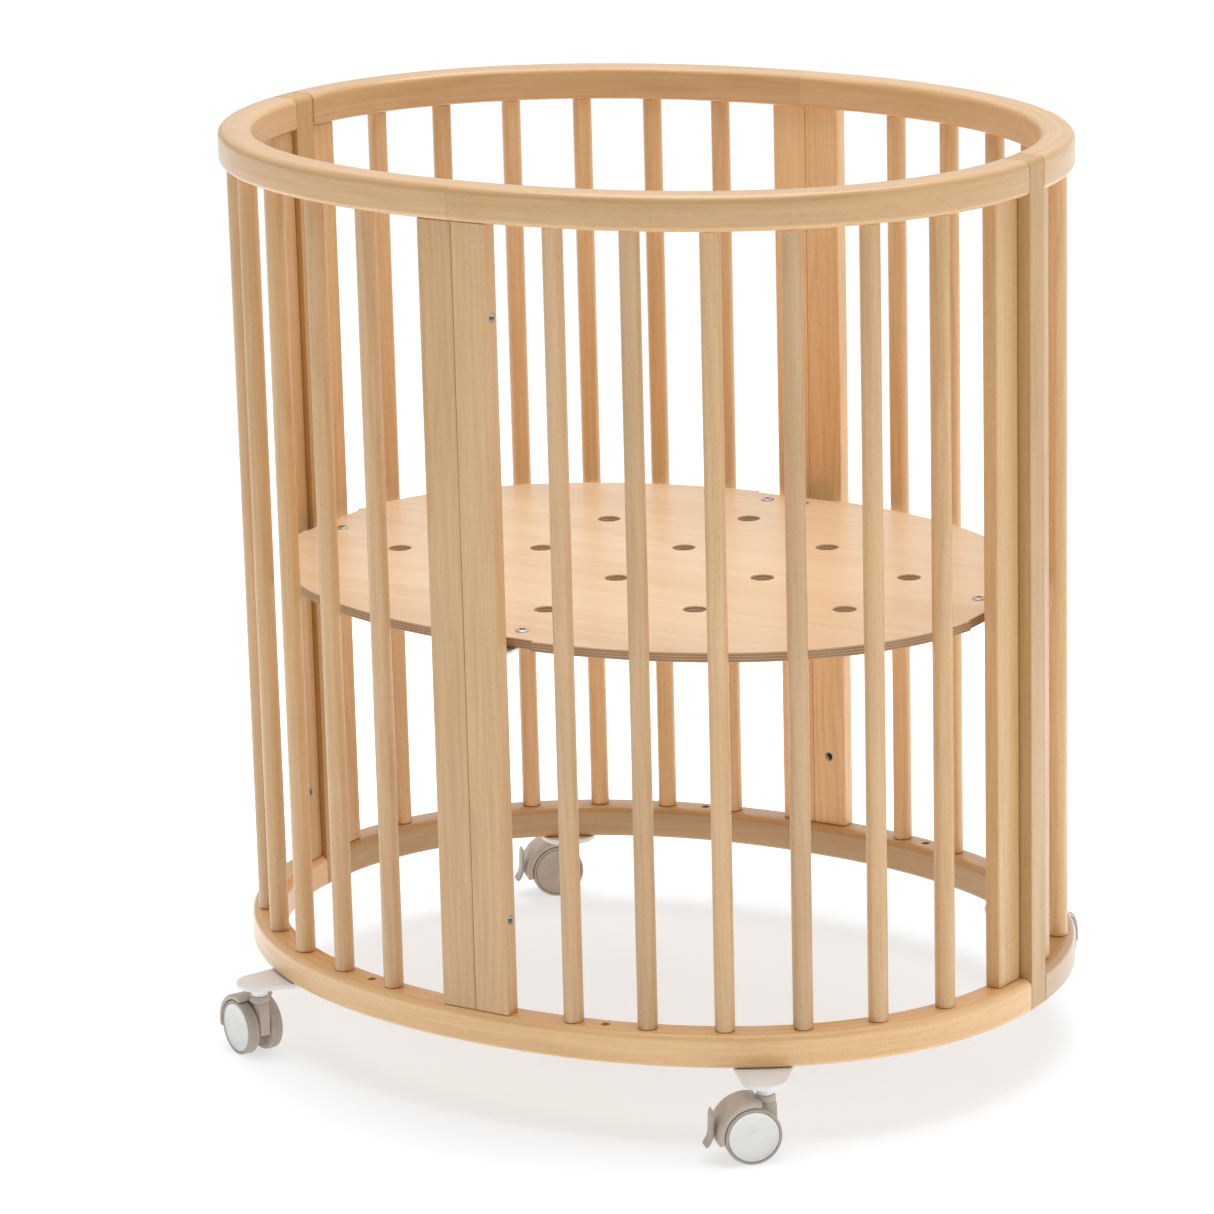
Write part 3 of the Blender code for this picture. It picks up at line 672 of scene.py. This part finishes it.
def build_side_boards():
    for quarter, (_, sign_y) in QUARTERS.items():
        node = "side_board_" + quarter
        low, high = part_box(node)
        tight = Vector((SEAM_CLOSE, 0.0))
        bm = loft(bar_rings(low.xy - tight, high.xy + tight, BOARD_RADIUS, low.z, high.z))
        middle = (low + high) / 2
        inner_y = low.y if sign_y > 0 else high.y
        places = [facing((middle.x, inner_y, LOW_BASE_Z), (0, -sign_y, 0))]
        if quarter == "front_right":
            for z in (0.753, 0.1965):
                places.append(facing((high.x, middle.y, z), (1, 0, 0)))
        # Painted light: the back boards, whose inner faces show, are drawn brighter and paler than
        # the front ones.
        tone, pale = (1.28, 0.5) if sign_y > 0 else (0.98, 0.1)
        add_piece("flat_" + node, bm, [UPRIGHT_WOOD], FRAME_BODY, [node],
                  own_grain("z"), tone=tone + random.uniform(-0.02, 0.02), pale=pale,
                  cut_by=[insert_cutter(place) for place in places])
        for number, place in enumerate(places):
            add_insert("insert_%s_%d" % (node, number + 1), place)


def end_board_place(quarter):
    sign_x, sign_y = QUARTERS[quarter]
    low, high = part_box("end_board_" + quarter)
    near_y = min(abs(low.y), abs(high.y)) + END_BOARD_THICKNESS * math.sin(END_BOARD_TURN)
    corner = Vector((max(abs(low.x), abs(high.x)), near_y, 0.0))
    flip = Matrix.Diagonal((sign_x, sign_y, 1.0, 1.0))
    return flip @ Matrix.Translation(corner) @ Matrix.Rotation(END_BOARD_TURN, 4, "Z")


def build_end_boards():
    side_low, side_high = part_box("side_board_front_right")
    width = side_high.x - side_low.x
    for quarter in QUARTERS:
        node = "end_board_" + quarter
        low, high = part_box(node)
        bm = loft(bar_rings((-END_BOARD_THICKNESS, 0.0), (0.0, width), BOARD_RADIUS, low.z, high.z))
        place = end_board_place(quarter)
        spots = []
        if quarter in ("front_left", "back_right"):
            spots = [facing((-END_BOARD_THICKNESS, width / 2, LOW_BASE_Z), (-1, 0, 0))]
        cutters = [insert_cutter(spot) for spot in spots]
        for shape in [bm] + cutters:
            bmesh.ops.transform(shape, verts=shape.verts, matrix=place)
        add_piece("flat_" + node, bm, [UPRIGHT_WOOD], FRAME_BODY, [node],
                  own_grain("z"), tone=None, cut_by=cutters)
        for number, spot in enumerate(spots):
            add_insert("insert_%s_%d" % (node, number + 1), place @ spot)


def build_slats():
    for node in sorted(BODY_OF):
        if not node.startswith("slat_"):
            continue
        low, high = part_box(node)
        radius = (high.x - low.x) / 2
        chamfer = 0.0007
        profile = [(0.0, low.z), (radius - chamfer, low.z), (radius, low.z + chamfer),
                   (radius, high.z - chamfer), (radius - chamfer, high.z), (0.0, high.z)]
        centre = (low + high) / 2
        bm = lathe(profile, SLAT_SIDES, place=Matrix.Translation((centre.x, centre.y, 0.0)))
        pale = 0.5 if centre.y < 0 and centre.x > 0 else 0.3
        # Painted light: the slats at the back are drawn 1.14 times brighter.
        add_piece("round_" + node, bm, [UPRIGHT_WOOD], FRAME_BODY, [node],
                  own_grain("z"), tone=random.uniform(0.90, 1.04) * (1.14 if centre.y > 0 else 1.0),
                  pale=pale + random.uniform(-0.5, 0.5), smooth=40.0)


# ---- mattress base
def base_outline():
    """Closed outline of the base, anticlockwise, with a notch at each board pair."""
    inner = CURVE - CURVE_NORMAL * BASE_INSET
    keep = (inner[:, 0] >= BASE_NOTCH_HALF_WIDTH) & (inner[:, 1] >= BASE_NOTCH_HALF_WIDTH)
    run = CURVE_RUN[keep]
    wanted = np.linspace(run[0], run[-1], BASE_STEPS)
    arc = [Vector((float(np.interp(r, run, inner[keep, 0])),
                   float(np.interp(r, run, inner[keep, 1])))) for r in wanted]
    notch_y = SEMI_Y - BASE_INSET - BASE_NOTCH_DEPTH
    notch_x = SEMI_X - BASE_INSET - BASE_NOTCH_DEPTH
    quarter = [Vector((0.0, notch_y)), Vector((BASE_NOTCH_HALF_WIDTH, notch_y))] + arc
    quarter += [Vector((notch_x, BASE_NOTCH_HALF_WIDTH)), Vector((notch_x, 0.0))]
    loop = []
    for sign_x, sign_y, flipped in ((1, 1, False), (1, -1, True), (-1, -1, False), (-1, 1, True)):
        part = [Vector((point.x * sign_x, point.y * sign_y)) for point in quarter]
        loop += (part[::-1] if flipped else part)[:-1]
    return loop[::-1]


def inward(loop):
    """Unit directions into a closed anticlockwise loop, one for each point."""
    result = []
    for index, point in enumerate(loop):
        before = (point - loop[index - 1]).normalized()
        after = (loop[(index + 1) % len(loop)] - point).normalized()
        normal = Vector((-before.y, before.x)) + Vector((-after.y, after.x))
        result.append(normal.normalized())
    return result


def base_holes():
    centres = []
    for column in range(-2, 3):
        rows = {0: (-1.5, -0.5, 0.5, 1.5), 1: (-1, 0, 1), 2: (-0.5, 0.5)}[abs(column)]
        centres += [Vector((column * HOLE_PITCH_X, row * HOLE_PITCH_Y)) for row in rows]
    return centres


def build_base():
    bm = bmesh.new()
    top_edges = []
    low_edges = []
    small = BASE_CHAMFER * 0.3
    rows = (
        (BASE_CHAMFER, BASE_HIGH.z), (small, BASE_HIGH.z - small),
        (0.0, BASE_HIGH.z - BASE_CHAMFER), (0.0, BASE_LOW.z + BASE_CHAMFER),
        (small, BASE_LOW.z + small), (BASE_CHAMFER, BASE_LOW.z),
    )
    outline = base_outline()
    loops = [(outline, inward(outline))]
    for centre in base_holes():
        turns = [2 * math.pi * side / HOLE_SIDES for side in range(HOLE_SIDES)]
        spokes = [Vector((math.cos(turn), math.sin(turn))) for turn in turns]
        loops.append(([centre + spoke * HOLE_RADIUS for spoke in spokes], spokes))
    for loop, directions in loops:
        rings = [[bm.verts.new((*(point + into * offset), z))
                  for point, into in zip(loop, directions)] for offset, z in rows]
        count = len(loop)
        for near, far in zip(rings, rings[1:]):
            for index in range(count):
                after = (index + 1) % count
                face = bm.faces.new((near[index], near[after], far[after], far[index]))
                face.material_index = 1
        for ring, store in ((rings[0], top_edges), (rings[-1], low_edges)):
            for index in range(count):
                store.append(bm.edges.get((ring[index], ring[(index + 1) % count])))
    for edges in (top_edges, low_edges):
        bmesh.ops.triangle_fill(bm, edges=edges, use_beauty=True)

    def plate_grain(points):
        moved = points.copy()
        moved[:, 2] -= BASE_LOW.z
        return moved
    add_piece("pierced_base", bm, [VENEER, PLY_EDGE], FRAME_BODY,
              ["mattress_base"], plate_grain, tone=1.06, smooth=15.0)


# ---- brackets and screws
def add_screw(name, place, size):
    """Round head of a screw or nut, with a hexagonal socket."""
    radius, height = size
    sides = 36
    rows = ((radius, 0.0), (radius, height * 0.35), (radius * 0.94, height * 0.68),
            (radius * 0.80, height * 0.90), (radius * 0.62, height), (radius * 0.50, height))
    rings = [[Vector((r * math.cos(2 * math.pi * side / sides),
                      r * math.sin(2 * math.pi * side / sides), z)) for side in range(sides)]
             for r, z in rows]
    socket = []
    across = radius * 0.40
    for side in range(sides):
        turn = 2 * math.pi * side / sides
        within = (turn + math.pi / 6) % (math.pi / 3) - math.pi / 6
        reach = across / math.cos(within)
        socket.append((reach * math.cos(turn), reach * math.sin(turn)))
    rings.append([Vector((x, y, height)) for x, y in socket])
    rings.append([Vector((x, y, height * 0.25)) for x, y in socket])
    add_piece(name, loft(rings), [BRIGHT_STEEL], FRAME_BODY, place=place,
              tone=0.95)


def angle_section(shelf_reach, drop):
    """L section with a rounded bend, from the wall's foot round to the shelf's tip."""
    bend = BRACKET_BEND
    thick = BRACKET_THICKNESS
    points = [(0.0, -drop)]
    for step in range(7):
        turn = math.radians(180 - 90 * step / 6)
        points.append((bend + bend * math.cos(turn), -bend + bend * math.sin(turn)))
    points += [(shelf_reach, 0.0), (shelf_reach, -thick)]
    inner = bend - thick * 0.8
    for step in range(5):
        turn = math.radians(90 + 90 * step / 4)
        points.append((thick + inner + inner * math.cos(turn),
                       -thick - inner + inner * math.sin(turn)))
    points.append((thick, -drop))
    return points


def build_brackets():
    for side in ("front", "back", "right", "left"):
        node = "base_bracket_" + side
        low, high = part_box(node)
        drop = high.z - low.z
        if side in ("front", "back"):
            sign = 1 if side == "back" else -1
            reach = high.y - low.y
            width = high.x - low.x
            outer = Vector(((low.x + high.x) / 2, high.y if sign > 0 else low.y, high.z))
            place = Matrix.Translation(outer) @ Matrix(((0, 1, 0, 0), (-sign, 0, 0, 0),
                                                        (0, 0, 1, 0), (0, 0, 0, 1)))
            shelf_nuts = (0.0200, -0.0200)
            wall_screws = (0.0177, -0.0177)
        else:
            board_low, board_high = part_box("side_board_front_right")
            width = END_BRACKET_WIDTH
            reach = END_BRACKET_REACH
            board = "back_right" if side == "right" else "front_left"
            middle = (board_high.x - board_low.x) / 2
            flip = Matrix.Diagonal((-1, 1, 1, 1))
            start = Matrix.Translation((-END_BOARD_THICKNESS - FIT_GAP, middle, high.z))
            place = end_board_place(board) @ start @ flip
            shelf_nuts = (0.0,)
            wall_screws = (0.0,)
        section = angle_section(reach, drop)
        rings = [[(x, along, z) for x, z in section] for along in (-width / 2, width / 2)]
        bm = loft(rings)
        sharp = [edge for edge in bm.edges
                 if len(edge.link_faces) == 2 and edge.calc_face_angle(0.0) > math.radians(50)]
        bmesh.ops.bevel(bm, geom=sharp, offset=BRACKET_EDGE, segments=2, affect="EDGES")
        add_piece("angle_" + node, bm, [STEEL], FRAME_BODY, [node], place=place)
        for number, along in enumerate(wall_screws):
            spot = place @ facing((BRACKET_THICKNESS, along, -drop * 0.58), (1, 0, 0))
            add_screw("wall_screw_%s_%d" % (side, number + 1), spot, WALL_SCREW)
        for number, along in enumerate(shelf_nuts):
            spot = place @ facing((reach * 0.75, along, -BRACKET_THICKNESS), (0, 0, -1))
            add_screw("shelf_nut_%s_%d" % (side, number + 1), spot, SHELF_NUT)


BASE_SCREWS = ((-0.020, -0.256), (0.020, -0.256), (-0.020, 0.256), (0.020, 0.256),
               (0.337, 0.024), (-0.337, -0.024))


def build_base_screws():
    for number, (x, y) in enumerate(BASE_SCREWS):
        place = Matrix.Translation((x, y, BASE_HIGH.z))
        add_screw("base_screw_%d" % (number + 1), place, BASE_SCREW)


# ---- casters
def caster_place(quarter):
    """Matrix from the caster's space to the crib: origin under the swivel, +X from the wheel."""
    swivel = Vector(JOINTS["swivel_turn_" + quarter]["pos_m"])
    wheel = Vector(JOINTS["wheel_roll_" + quarter]["pos_m"])
    ahead = Vector((swivel.x - wheel.x, swivel.y - wheel.y, 0.0)).normalized()
    sideways = Vector((0, 0, 1)).cross(ahead)
    turn = Matrix((ahead, sideways, (0, 0, 1))).transposed().to_4x4()
    return Matrix.Translation((swivel.x, swivel.y, 0.0)) @ turn


def build_pad(quarter):
    node = "caster_pad_" + quarter
    low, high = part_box(node)
    swivel = Vector(JOINTS["swivel_turn_" + quarter]["pos_m"])
    sign_x, sign_y = QUARTERS[quarter]
    centre_line = CURVE - CURVE_NORMAL * RAIL_WIDTH / 2
    away = np.linalg.norm(centre_line - np.array((abs(swivel.x), abs(swivel.y))), axis=1)
    nearest = centre_line[away.argmin()]
    rail_centre = Vector((nearest[0] * sign_x, nearest[1] * sign_y))
    stem = swivel.xy
    axis = stem - rail_centre
    heading = math.atan2(axis.y, axis.x)
    half = math.pi / 2 - math.asin((PAD_RAIL_RADIUS - PAD_STEM_RADIUS) / axis.length)

    def ring(z, shrink):
        points = []
        for centre, radius, start, sweep in (
                (stem, PAD_STEM_RADIUS, heading - half, 2 * half),
                (rail_centre, PAD_RAIL_RADIUS, heading + half, 2 * (math.pi - half))):
            reach = radius - shrink
            for step in range(PAD_STEPS + 1):
                turn = start + sweep * step / PAD_STEPS
                points.append((centre.x + reach * math.cos(turn),
                               centre.y + reach * math.sin(turn), z))
        return points
    bottom = high.z - PAD_THICKNESS
    rings = [ring(high.z, 0.0005), ring(high.z - 0.0005, 0.0)]
    for step in range(6):
        turn = math.pi / 2 * step / 5
        rings.append(ring(bottom + 0.0020 * (1 - math.sin(turn)), 0.0020 * (1 - math.cos(turn))))
    bm = loft(rings)
    collar = [(0.0, bottom + 0.0010), (COLLAR_RADIUS + 0.0022, bottom + 0.0010),
              (COLLAR_RADIUS + 0.0022, bottom - 0.0004), (COLLAR_RADIUS + 0.0008, bottom - 0.0012),
              (COLLAR_RADIUS, bottom - 0.0026), (COLLAR_RADIUS, low.z + 0.0006),
              (COLLAR_RADIUS - 0.0006, low.z), (0.0, low.z)]
    lathe(collar, 48, bm, Matrix.Translation((stem.x, stem.y, 0.0)))
    add_piece("mount_" + node, bm, [PAD_PLASTIC], FRAME_BODY, [node], smooth=38.0)


def polar(centre, radius, degrees):
    turn = math.radians(degrees)
    return centre[0] + radius * math.cos(turn), centre[1] + radius * math.sin(turn)


def build_hood(node, place, hub):
    """The fender that curves over both wheels."""
    rings = []
    start, end = FENDER_ARC
    first, sweep = start + HOOD_ROUND_OFF, end - start - 2 * HOOD_ROUND_OFF
    rows = [(start, 0.0014), (first, 0.0003)]
    rows += [(first + sweep * step / HOOD_STEPS, 0.0) for step in range(HOOD_STEPS + 1)]
    rows += [(end - HOOD_ROUND_OFF, 0.0003), (end, 0.0014)]
    low, high = (FENDER_INNER, -HOOD_HALF_WIDTH), (FENDER_OUTER, HOOD_HALF_WIDTH)
    for degrees, shrink in rows:
        section = rounded_rectangle(low, high, (0.0006, 0.0017, 0.0017, 0.0006), 4, shrink)
        spots = [(polar(hub, radius, degrees), y) for radius, y in section]
        rings.append([(x, y, z) for (x, z), y in spots])
    add_piece("hood_" + node, loft(rings), [HOUSING_PLASTIC], BODY_OF[node],
              [node], place=place, smooth=36.0)


def build_yoke(node, place, hub):
    """The plate between the wheels that holds the axle."""
    crown = (FENDER_INNER + FENDER_OUTER) / 2
    front = hub[0] + YOKE_AHEAD
    outline = [(front - 0.0035, 0.0205), (front - 0.0010, 0.0215), (front, 0.0240),
               (front, 0.0500), (front - 0.0008, 0.0535), (front - 0.0025, 0.0554),
               (0.0, 0.0555)]
    outline += [polar(hub, crown, 80 + 116 * step / 24) for step in range(25)]
    outline += [polar(hub, 0.0120, 235 + 95 * step / 12) for step in range(13)]
    half = YOKE_HALF_WIDTH
    middle = Vector((sum(p[0] for p in outline), sum(p[1] for p in outline))) / len(outline)
    rings = []
    for y, shrink in ((-half, 0.0007), (-half + 0.0007, 0.0), (half - 0.0007, 0.0),
                      (half, 0.0007)):
        rings.append([(x + (middle.x - x) * shrink / YOKE_DEPTH, y,
                       z + (middle.y - z) * shrink / YOKE_DEPTH) for x, z in outline])
    reach = half + 0.004
    bore = [(0.0, -reach), (AXLE_BORE, -reach), (AXLE_BORE, reach), (0.0, reach)]
    cutter = lathe(bore, 40, place=Matrix.Translation((hub[0], 0.0, hub[1]))
                   @ Matrix.Rotation(math.pi / 2, 4, "X"))
    add_piece("yoke_" + node, loft(rings), [HOUSING_PLASTIC], BODY_OF[node],
              place=place, smooth=36.0, cut_by=[cutter])


def build_turntable(node, place):
    """The round boss under the pad that the caster turns on."""
    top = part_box(node)[1].z
    turntable = [(0.0, 0.0500), (0.0055, 0.0500), (0.0070, 0.0528), (0.0095, 0.0545),
                 (0.0095, top - 0.0015), (0.0088, top - 0.0004), (0.0078, top), (0.0, top)]
    add_piece("turntable_" + node, lathe(turntable, 48), [HOUSING_PLASTIC], BODY_OF[node],
              place=place, smooth=36.0)


WHEEL_PROFILE = (
    (0.0040, 0.0060), (0.0150, 0.0060), (0.0152, 0.0064), (0.0215, 0.0064), (0.0217, 0.0060),
    (0.0238, 0.0061), (0.0250, 0.0066), (0.0260, 0.0076), (0.0265, 0.0090), (0.0265, 0.0112),
    (0.0262, 0.0114), (0.0262, 0.0119), (0.0265, 0.0121), (0.0265, 0.0166), (0.0263, 0.0176),
    (0.0258, 0.0182), (0.0250, 0.0185), (0.0241, 0.0185), (0.0238, 0.0183), (0.0237, 0.0176),
    (0.0236, 0.0166), (0.0, 0.0166),
)
CAP_PROFILE = (
    (0.0, 0.0168), (0.0233, 0.0168), (0.0233, 0.0178), (0.0231, 0.0182), (0.0226, 0.01845),
    (0.0220, 0.01840), (0.0216, 0.0181), (0.0212, 0.0177), (0.0204, 0.0175), (0.0120, 0.01755),
    (0.0060, 0.0177), (0.0052, 0.0180), (0.0044, 0.0182), (0.0, 0.0183),
)
WHITE_CAP_SIDE = {"front_right": -1, "front_left": -1, "back_left": 1, "back_right": 1}


def build_wheel(quarter, place, hub):
    node = "caster_wheel_" + quarter
    axle = place @ Matrix.Translation((hub[0], 0.0, hub[1]))
    turned = Matrix.Rotation(math.pi / 2, 4, "X")
    half = list(WHEEL_PROFILE)
    profile = [(radius, -y) for radius, y in reversed(half)] + half
    add_piece("twin_" + node, lathe(profile, WHEEL_SIDES), [WHEEL_PLASTIC], BODY_OF[node],
              [node], place=axle @ turned, smooth=35.0)
    for side in (-1, 1):
        white = WHITE_CAP_SIDE[quarter] == side
        bm = lathe([(radius, y) for radius, y in CAP_PROFILE], WHEEL_SIDES)
        aim = Matrix.Rotation(-side * math.pi / 2, 4, "X")
        add_piece("hub_cap_%s_%s" % (quarter, "outer" if white else "inner"), bm,
                  [CAP_PLASTIC if white else WHEEL_PLASTIC], BODY_OF[node],
                  place=axle @ aim, tone=1.0 if white else 1.06, smooth=35.0)


LEVER_FACE = ((0.0034, 0.0250), (0.0024, 0.0180), (0.0019, 0.0090), (0.0016, 0.0020),
              (-0.0006, -0.0040), (-0.0048, -0.0095))


def build_lever(quarter, place):
    node = "brake_lever_" + quarter
    pivot = place.inverted() @ Vector(JOINTS["brake_press_" + quarter]["pos_m"])
    knots = np.array(LEVER_FACE)
    at = np.concatenate([[0.0], np.cumsum(np.linalg.norm(np.diff(knots, axis=0), axis=1))])
    weights = np.polyfit(at, knots, 4)
    fine = np.linspace(0.0, at[-1], 26)
    line = np.stack([np.polyval(weights[:, axis], fine) for axis in (0, 1)], axis=1)
    slope = np.gradient(line, axis=0)
    slope /= np.linalg.norm(slope, axis=1)[:, None]
    rings = []
    for index, ((x, z), (dx, dz)) in enumerate(zip(line, slope)):
        away = Vector((dz, -dx))
        if away.x > 0:
            away = -away
        tip = min(index, len(line) - 1 - index)
        shrink = (0.0010, 0.0003, 0.0)[min(tip, 2)]
        section = rounded_rectangle((0.0002, -LEVER_HALF_WIDTH), (LEVER_THICKNESS, LEVER_HALF_WIDTH),
                                    (0.0010,) * 4, 4, shrink)
        rings.append([(pivot.x + x + away.x * t, y, pivot.z + z + away.y * t)
                      for t, y in section])
    add_piece("pedal_" + node, loft(rings), [LEVER_PLASTIC], BODY_OF[node],
              [node], place=place, smooth=40.0)


def build_casters():
    for quarter in QUARTERS:
        build_pad(quarter)
        place = caster_place(quarter)
        centre = place.inverted() @ Vector(JOINTS["wheel_roll_" + quarter]["pos_m"])
        hub = (centre.x, centre.z)
        housing = "caster_housing_" + quarter
        build_hood(housing, place, hub)
        build_yoke(housing, place, hub)
        build_turntable(housing, place)
        build_wheel(quarter, place, hub)
        if "brake_press_" + quarter in JOINTS:
            build_lever(quarter, place)


# ---- floor, light and camera
FLOOR_REACH = 160.0
# The floor glows: least under the crib, which paints a shadow there, and most in a ring round it,
# which lights the crib from below; it fades again far off.
FLOOR_GLOW_UNDER = 0.54
FLOOR_GLOW_ROUND = 1.15
FLOOR_GLOW_FAR = 0.68
SKY_TILT = (0.04, 0.37, 0.58)   # how the studio brightens to the right, the back and the top
SKY_LEVEL = 0.26
SKY_LEAST = 0.02


def build_floor():
    bm = bmesh.new()
    bmesh.ops.create_grid(bm, x_segments=16, y_segments=16, size=FLOOR_REACH)
    mesh = mesh_from("studio_floor", bm)
    floor = link("studio_floor", mesh)
    g = Graph(bpy.data.materials.new("floor_look"))
    place = g.node("ShaderNodeTexCoord").outputs["Object"]
    away = g.node("ShaderNodeVectorMath", ((0, place),), operation="LENGTH").outputs["Value"]
    # Painted shadow under the crib, and a glowing ring round it that lights the crib.
    ring = g.ramp(away, 0.32, 0.80, 0.0, FLOOR_GLOW_ROUND - FLOOR_GLOW_UNDER)
    fade = g.ramp(away, 1.0, 3.2, 0.0, FLOOR_GLOW_ROUND - FLOOR_GLOW_FAR)
    glow = g.plus(g.math("SUBTRACT", ring, fade), FLOOR_GLOW_UNDER)
    mesh.materials.append(g.finish(Base_Color=(0.475, 0.520, 0.560), Roughness=0.8,
                                   Specular_IOR_Level=0.1, Emission_Color=(1.0, 1.0, 1.0),
                                   Emission_Strength=glow))


def add_softbox(name, place, target, size, power):
    data = bpy.data.lights.new(name, "AREA")
    data.shape = "RECTANGLE"
    data.size, data.size_y = size
    data.energy = power
    lamp = link(name, data)
    lamp.location = place
    lamp.rotation_euler = (Vector(target) - Vector(place)).to_track_quat("-Z", "Y").to_euler()


def build_light():
    g = Graph(bpy.data.worlds.new("studio_world"), "Background")
    direction = g.node("ShaderNodeTexCoord").outputs["Generated"]
    tilt = g.node("ShaderNodeVectorMath", ((0, direction), (1, SKY_TILT)),
                  operation="DOT_PRODUCT").outputs["Value"]
    strength = g.math("MAXIMUM", g.plus(tilt, SKY_LEVEL), SKY_LEAST)
    bpy.context.scene.world = g.finish(Color=(1.0, 1.0, 1.0), Strength=strength)
    add_softbox("overhead", (0.0, 0.2, 3.2), (0.0, 0.0, 0.0), (2.4, 2.4), 49.0)
    add_softbox("left_box", (-3.2, -0.8, 1.9), (0.0, 0.0, 0.45), (1.8, 2.4), 3.0)
    add_softbox("right_box", (3.2, 0.2, 1.9), (0.0, 0.0, 0.45), (1.8, 2.4), 3.0)


CAMERA_PLACE = (2.4504, -3.9861, 1.7038)
CAMERA_AZIMUTH = math.radians(32.097)
CAMERA_ELEVATION = math.radians(15.470)
CAMERA_ROLL = -0.0255
CAMERA_LENS = 152.03


def build_camera():
    forward = Vector((-math.sin(CAMERA_AZIMUTH) * math.cos(CAMERA_ELEVATION),
                      math.cos(CAMERA_AZIMUTH) * math.cos(CAMERA_ELEVATION),
                      -math.sin(CAMERA_ELEVATION)))
    level = forward.cross(Vector((0, 0, 1))).normalized()
    upright = level.cross(forward)
    right = math.cos(CAMERA_ROLL) * level + math.sin(CAMERA_ROLL) * upright
    up = -math.sin(CAMERA_ROLL) * level + math.cos(CAMERA_ROLL) * upright
    data = bpy.data.cameras.new("studio_camera")
    data.sensor_width = 36.0
    data.lens = CAMERA_LENS
    data.clip_end = 700.0
    camera = link("studio_camera", data)
    turn = Matrix((right, up, -forward)).transposed().to_4x4()
    camera.matrix_world = Matrix.Translation(CAMERA_PLACE) @ turn
    bpy.context.scene.camera = camera
    bpy.context.scene.view_settings.view_transform = "Standard"


build_top_rails()
build_bottom_rails()
build_posts()
build_side_boards()
build_end_boards()
build_slats()
build_base()
build_brackets()
build_base_screws()
build_casters()
build_floor()
build_light()
build_camera()
